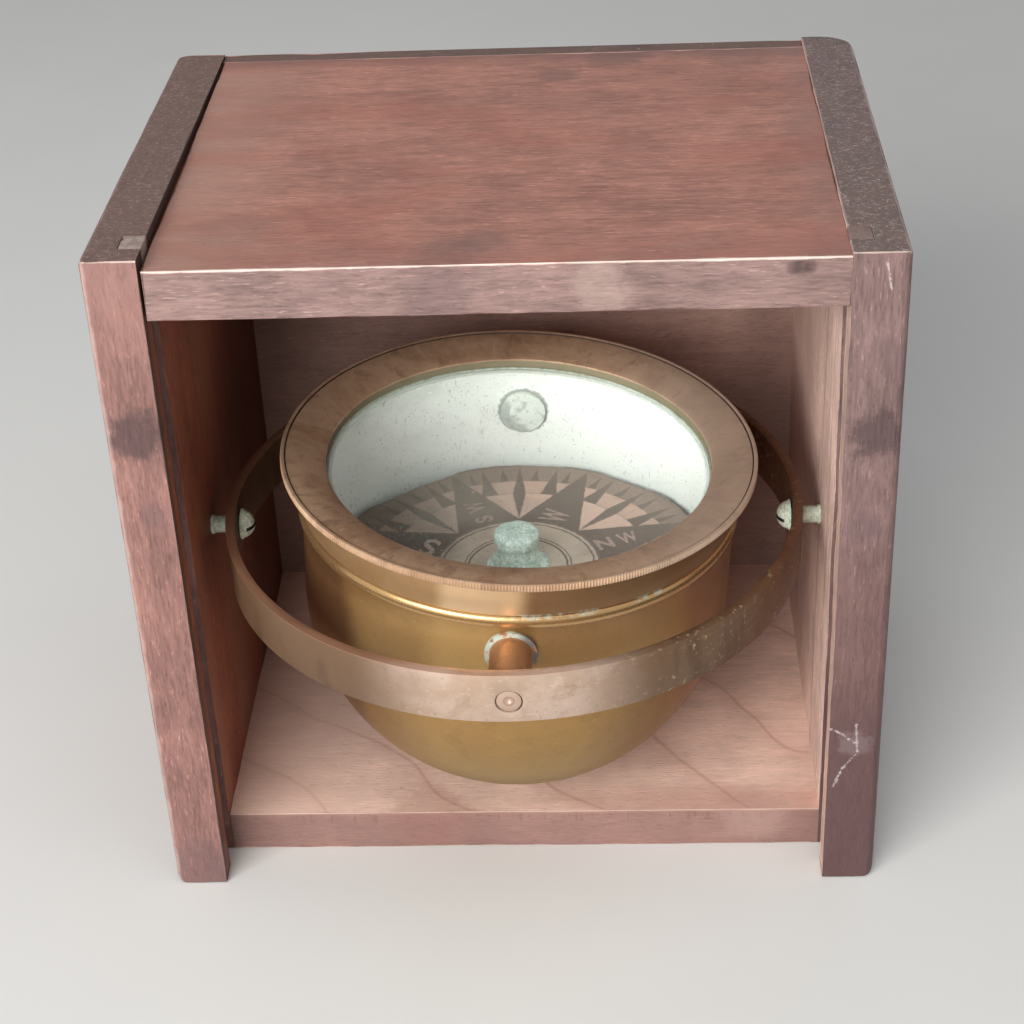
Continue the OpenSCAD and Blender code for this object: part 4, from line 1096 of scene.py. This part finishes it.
class COMPASS_OT_card(bpy.types.Operator):
    """Make the printed card with its letters"""
    bl_idname = "compass.card"
    bl_label = "Card and letters"

    def execute(self, context):
        self.disc()
        f = Finish("letter_print", tuple(CARD_MID))
        f.colour, f.rough = tint(190, 166, 154), 0.75
        f.lay(f.grain(1.4).rise(0.4, 0.68) * 0.6, tint(142, 124, 116))
        f.height = f.grain(0.8)
        ink = f.done(0.02)
        # Bearings run clockwise from north, and each name reads outwards from the middle
        single, paired = sizes().single_letter, sizes().paired_letter
        for i, word in enumerate(("N", "NE", "E", "SE", "S", "SW", "W", "NW")):
            turn = CARD_HEADING - TAU / 8 * i
            if len(word) == 1:
                self.letter(word, "letter_" + word, single, SINGLE_WIDTH * MM, SINGLE_AT, turn, ink)
                continue
            for sign, at, end in zip(word, PAIR_AT, ("first", "second")):
                self.letter(sign, "letter_" + word + "_" + end, paired, PAIR_WIDTH * MM, at, turn, ink)
        return {"FINISHED"}

    def disc(self):
        """The paper disc, ragged at its edge and worn back at a few places."""
        under, hole = CARD_Z - CARD_T, STEM_R + 0.05
        outline = [(hole, under), (CARD_R, under), (CARD_R, CARD_Z), (47.0, CARD_Z), (30, CARD_Z),
                   (hole, CARD_Z), (hole, under)]
        piece = turned("card", outline, 360)
        for vertex in piece.data.vertices:
            radius = math.hypot(vertex.co.x, vertex.co.y)
            if radius < (CARD_R - 1.5) * MM:
                continue
            turn = math.atan2(vertex.co.y, vertex.co.x)
            spot = Vector((math.cos(turn), math.sin(turn), 0))
            bite = sizes().card_ragged * max(0.0, noise.noise(spot * 8) + noise.noise(spot * 22) + 0.4)
            for middle, half, depth in WORN:
                away = abs((math.degrees(turn) - middle + 180) % 360 - 180) / half
                if away < 1:
                    bite += depth * MM * (1 - away ** 3)
            draw_in(vertex, 1 - bite / radius)
        piece.data.transform(CARD_PLACE)
        finish_piece(piece, "card", printed_card(), ("compass_card",))

    def letter(self, sign, name, height, most_width, at, turn, ink):
        """One printed letter, its foot towards the left of its bearing."""
        deselect()
        bpy.ops.object.text_add(location=(0, 0, 0))
        text = bpy.context.object
        text.data.body = sign
        text.data.size = height
        text.data.extrude = 0.02 * MM
        text.data.offset = 0.14 * MM
        text.data.align_x, text.data.align_y = "CENTER", "CENTER"
        activate(text)
        bpy.ops.object.convert(target="MESH")
        piece = bpy.context.object
        piece.name = piece.data.name = name
        low, high = Vector(piece.bound_box[0]), Vector(piece.bound_box[6])
        grow = height / (high.y - low.y)
        width = min(grow, most_width / (high.x - low.x))
        middle = (low + high) / 2
        out = Matrix.Rotation(turn, 4, "Z") @ Matrix.Translation((at * MM, 0, (CARD_Z + 0.02) * MM))
        fitted = Matrix.Diagonal((width, grow, 1.0, 1.0)) @ Matrix.Translation((-middle.x, -middle.y, 0))
        piece.data.transform(CARD_PLACE @ out @ fitted)
        with editing(piece):
            bpy.ops.mesh.remove_doubles(threshold=1e-7)
        finish_piece(piece, "card", ink)


class COMPASS_OT_card_cap(bpy.types.Operator):
    """Turn the card's cap and finish its jewel"""
    bl_idname = "compass.card_cap"
    bl_label = "Card cap"

    def execute(self, context):
        hollow_h = KNOB_Z - CARD_Z - FOOT_H
        stem = [(CAP_BORE_R, STEM_BOTTOM), (STEM_R, STEM_BOTTOM), (STEM_R, CARD_Z), (FOOT_R - 0.1, CARD_Z),
                (FOOT_R, CARD_Z + 0.1)]
        hollow = arc((FOOT_R, KNOB_Z), (WAIST_R - FOOT_R, -hollow_h), 90, 0, 10)
        knob = [(KNOB_R - 0.4, KNOB_Z + 0.15), (KNOB_R - 0.08, KNOB_Z + 0.45), (KNOB_R, KNOB_Z + 0.8)]
        crown = arc((KNOB_R - CROWN_W, CAP_TOP - CROWN_H), (CROWN_W, CROWN_H), 0, 90, 10)
        piece = turned("cap", stem + hollow + knob + crown + [(1.6, CAP_TOP), (0, CAP_TOP)], 64)
        for vertex in piece.data.vertices:
            at = vertex.co / MM
            if at.z > CARD_Z + 0.2:
                draw_in(vertex, 1 - 0.05 * max(0.0, noise.noise(at * 0.5) + 0.5 * noise.noise(at * 1.6)))
                if at.z > CAP_TOP - 0.8:
                    vertex.co.z -= 0.22 * MM * max(0.0, noise.noise(at * 0.7 + Vector((4, 4, 4))) + 0.4)
        piece.data.transform(CARD_PLACE)
        finish = crusted("cap_crust", (tuple(CARD_MID), (0, 0, 0)), tint(226, 240, 232), tint(170, 198, 186),
                         tint(150, 140, 112), bare=0.10, rough=0.7, lumps=0.16)
        finish_piece(piece, "card", finish, ("card_cap",), smooth=40)
        paint_nodes(plain("jewel_agate", tint(150, 50, 52), tint(110, 34, 40), 1.2, 0.15), "cap_jewel")
        return {"FINISHED"}


class COMPASS_OT_inner_pieces(bpy.types.Operator):
    """Finish the pieces hidden in the bowl"""
    bl_idname = "compass.inner_pieces"
    bl_label = "Inner pieces"

    def execute(self, context):
        dull = plain("inner_brass", tint(178, 146, 92), tint(132, 104, 66), 6.0, 0.42, 1.0)
        paint_nodes(dull, "pivot_post", "post_screws", "cap_nut", "magnet_straps")
        lead = plain("cast_lead", tint(112, 112, 116), tint(82, 82, 88), 9.0, 0.6, 0.7, 0.15)
        paint_nodes(lead, "ballast_weight")
        steel = plain("ground_steel", tint(168, 170, 174), tint(130, 132, 136), 2.0, 0.25, 1.0)
        paint_nodes(steel, "pivot_pin")
        paint_nodes(plain("blued_steel", tint(74, 78, 88), tint(52, 54, 62), 5.0, 0.35, 0.9), "magnet_bars")
        return {"FINISHED"}


# the stage

# What the lamps point at, and the camera that sees the box as the photograph does, in metres and radians
AIM = Vector((0, -0.03, 0.085))
CAMERA_PLACE = (0.0248306, -0.4580215, 0.3700075)
CAMERA_TURN = (1.0070932, 0.0399058, 0.0311868)
SENSOR_WIDTH = 36


def lamp(name, bearing, height, distance, size, energy, tone):
    """A large soft lamp: bearing in degrees to the right of the front, and height in degrees above level."""
    b, h = math.radians(bearing), math.radians(height)
    place = AIM + distance * Vector((math.sin(b) * math.cos(h), -math.cos(b) * math.cos(h), math.sin(h)))
    deselect()
    bpy.ops.object.light_add(type="AREA", location=place)
    light = bpy.context.object
    light.name = name
    light.data.shape = "RECTANGLE"
    light.data.size, light.data.size_y = size
    light.data.energy = energy
    light.data.color = tone
    light.rotation_euler = (AIM - place).to_track_quat("-Z", "Y").to_euler()


class COMPASS_OT_stage(bpy.types.Operator):
    """Set up the floor, lamps, background and camera"""
    bl_idname = "compass.stage"
    bl_label = "Stage"

    def execute(self, context):
        s = sizes()
        self.floor()
        self.room(s.sky)
        lamp("key", bearing=-28, height=24, distance=1.5, size=(1.2, 0.8), energy=s.key_light,
             tone=(1.0, 0.985, 0.96))
        lamp("above", bearing=30, height=72, distance=1.4, size=(1.0, 1.0), energy=s.top_light,
             tone=(0.97, 0.985, 1.0))
        camera = bpy.data.objects.new("camera", bpy.data.cameras.new("camera"))
        bpy.context.scene.collection.objects.link(camera)
        camera.data.lens, camera.data.sensor_width = s.lens, SENSOR_WIDTH
        camera.data.clip_start, camera.data.clip_end = 0.01, 20
        camera.location, camera.rotation_euler = CAMERA_PLACE, CAMERA_TURN
        bpy.context.scene.camera = camera
        bpy.context.scene.view_settings.view_transform = "Standard"
        return {"FINISHED"}

    def floor(self):
        deselect()
        place = (0, 0, -0.2 * MM)
        bpy.ops.mesh.primitive_grid_add(x_subdivisions=8, y_subdivisions=8, size=6.0, location=place)
        floor = bpy.context.object
        floor.name = "floor"
        f = Finish("floor_paint")
        f.colour, f.rough = colour_of("floor"), 0.85
        f.shade(0.97 + f.grain(60, detail=2.0) * 0.05)
        floor.data.materials.append(f.done(gloss=0.2))

    def room(self, strength):
        """Even light all round; the camera and reflections see the pale background instead."""
        world = bpy.data.worlds.new("room")
        bpy.context.scene.world = world
        world.use_nodes = True
        tree = world.node_tree
        tree.nodes.clear()
        path = tree.nodes.new("ShaderNodeLightPath")
        seen = path.outputs["Is Camera Ray"]
        for kind in ("Is Glossy Ray", "Is Transmission Ray"):
            either = tree.nodes.new("ShaderNodeMath")
            either.operation = "MAXIMUM"
            tree.links.new(seen, either.inputs[0])
            tree.links.new(path.outputs[kind], either.inputs[1])
            seen = either.outputs[0]
        choice = tree.nodes.new("ShaderNodeMixShader")
        tree.links.new(seen, choice.inputs[0])
        for place, tone, level in ((1, (0.97, 0.98, 1.0, 1.0), strength), (2, colour_of("floor"), 0.85)):
            light = tree.nodes.new("ShaderNodeBackground")
            light.inputs["Color"].default_value = tone
            light.inputs["Strength"].default_value = level
            tree.links.new(light.outputs[0], choice.inputs[place])
        out = tree.nodes.new("ShaderNodeOutputWorld")
        tree.links.new(choice.outputs[0], out.inputs["Surface"])


class COMPASS_PT_panel(bpy.types.Panel):
    """The compass's steps and settings"""
    bl_idname = "COMPASS_PT_panel"
    bl_label = "Compass"
    bl_space_type = "VIEW_3D"
    bl_region_type = "UI"
    bl_category = "Compass"

    def draw(self, context):
        for step in STEPS:
            self.layout.operator(step.bl_idname)
        for group in (context.scene.compass_sizes, context.scene.compass_colours):
            for key in group.__annotations__:
                self.layout.prop(group, key)


STEPS = (COMPASS_OT_side_boards, COMPASS_OT_cross_boards, COMPASS_OT_box_fittings, COMPASS_OT_bowl,
         COMPASS_OT_cover_ring, COMPASS_OT_glazing, COMPASS_OT_gimbal_ring, COMPASS_OT_bowl_pivots,
         COMPASS_OT_box_pivots, COMPASS_OT_card, COMPASS_OT_card_cap, COMPASS_OT_inner_pieces,
         COMPASS_OT_stage)
CLASSES = (CompassSizes, CompassColours) + STEPS + (COMPASS_PT_panel,)


def register():
    for made in CLASSES:
        bpy.utils.register_class(made)
    bpy.types.Scene.compass_sizes = PointerProperty(type=CompassSizes)
    bpy.types.Scene.compass_colours = PointerProperty(type=CompassColours)


def unregister():
    del bpy.types.Scene.compass_sizes
    del bpy.types.Scene.compass_colours
    for made in reversed(CLASSES):
        bpy.utils.unregister_class(made)


def main():
    register()
    for step in STEPS:
        group, name = step.bl_idname.split(".")
        getattr(getattr(bpy.ops, group), name)()


if __name__ == "__main__":
    main()
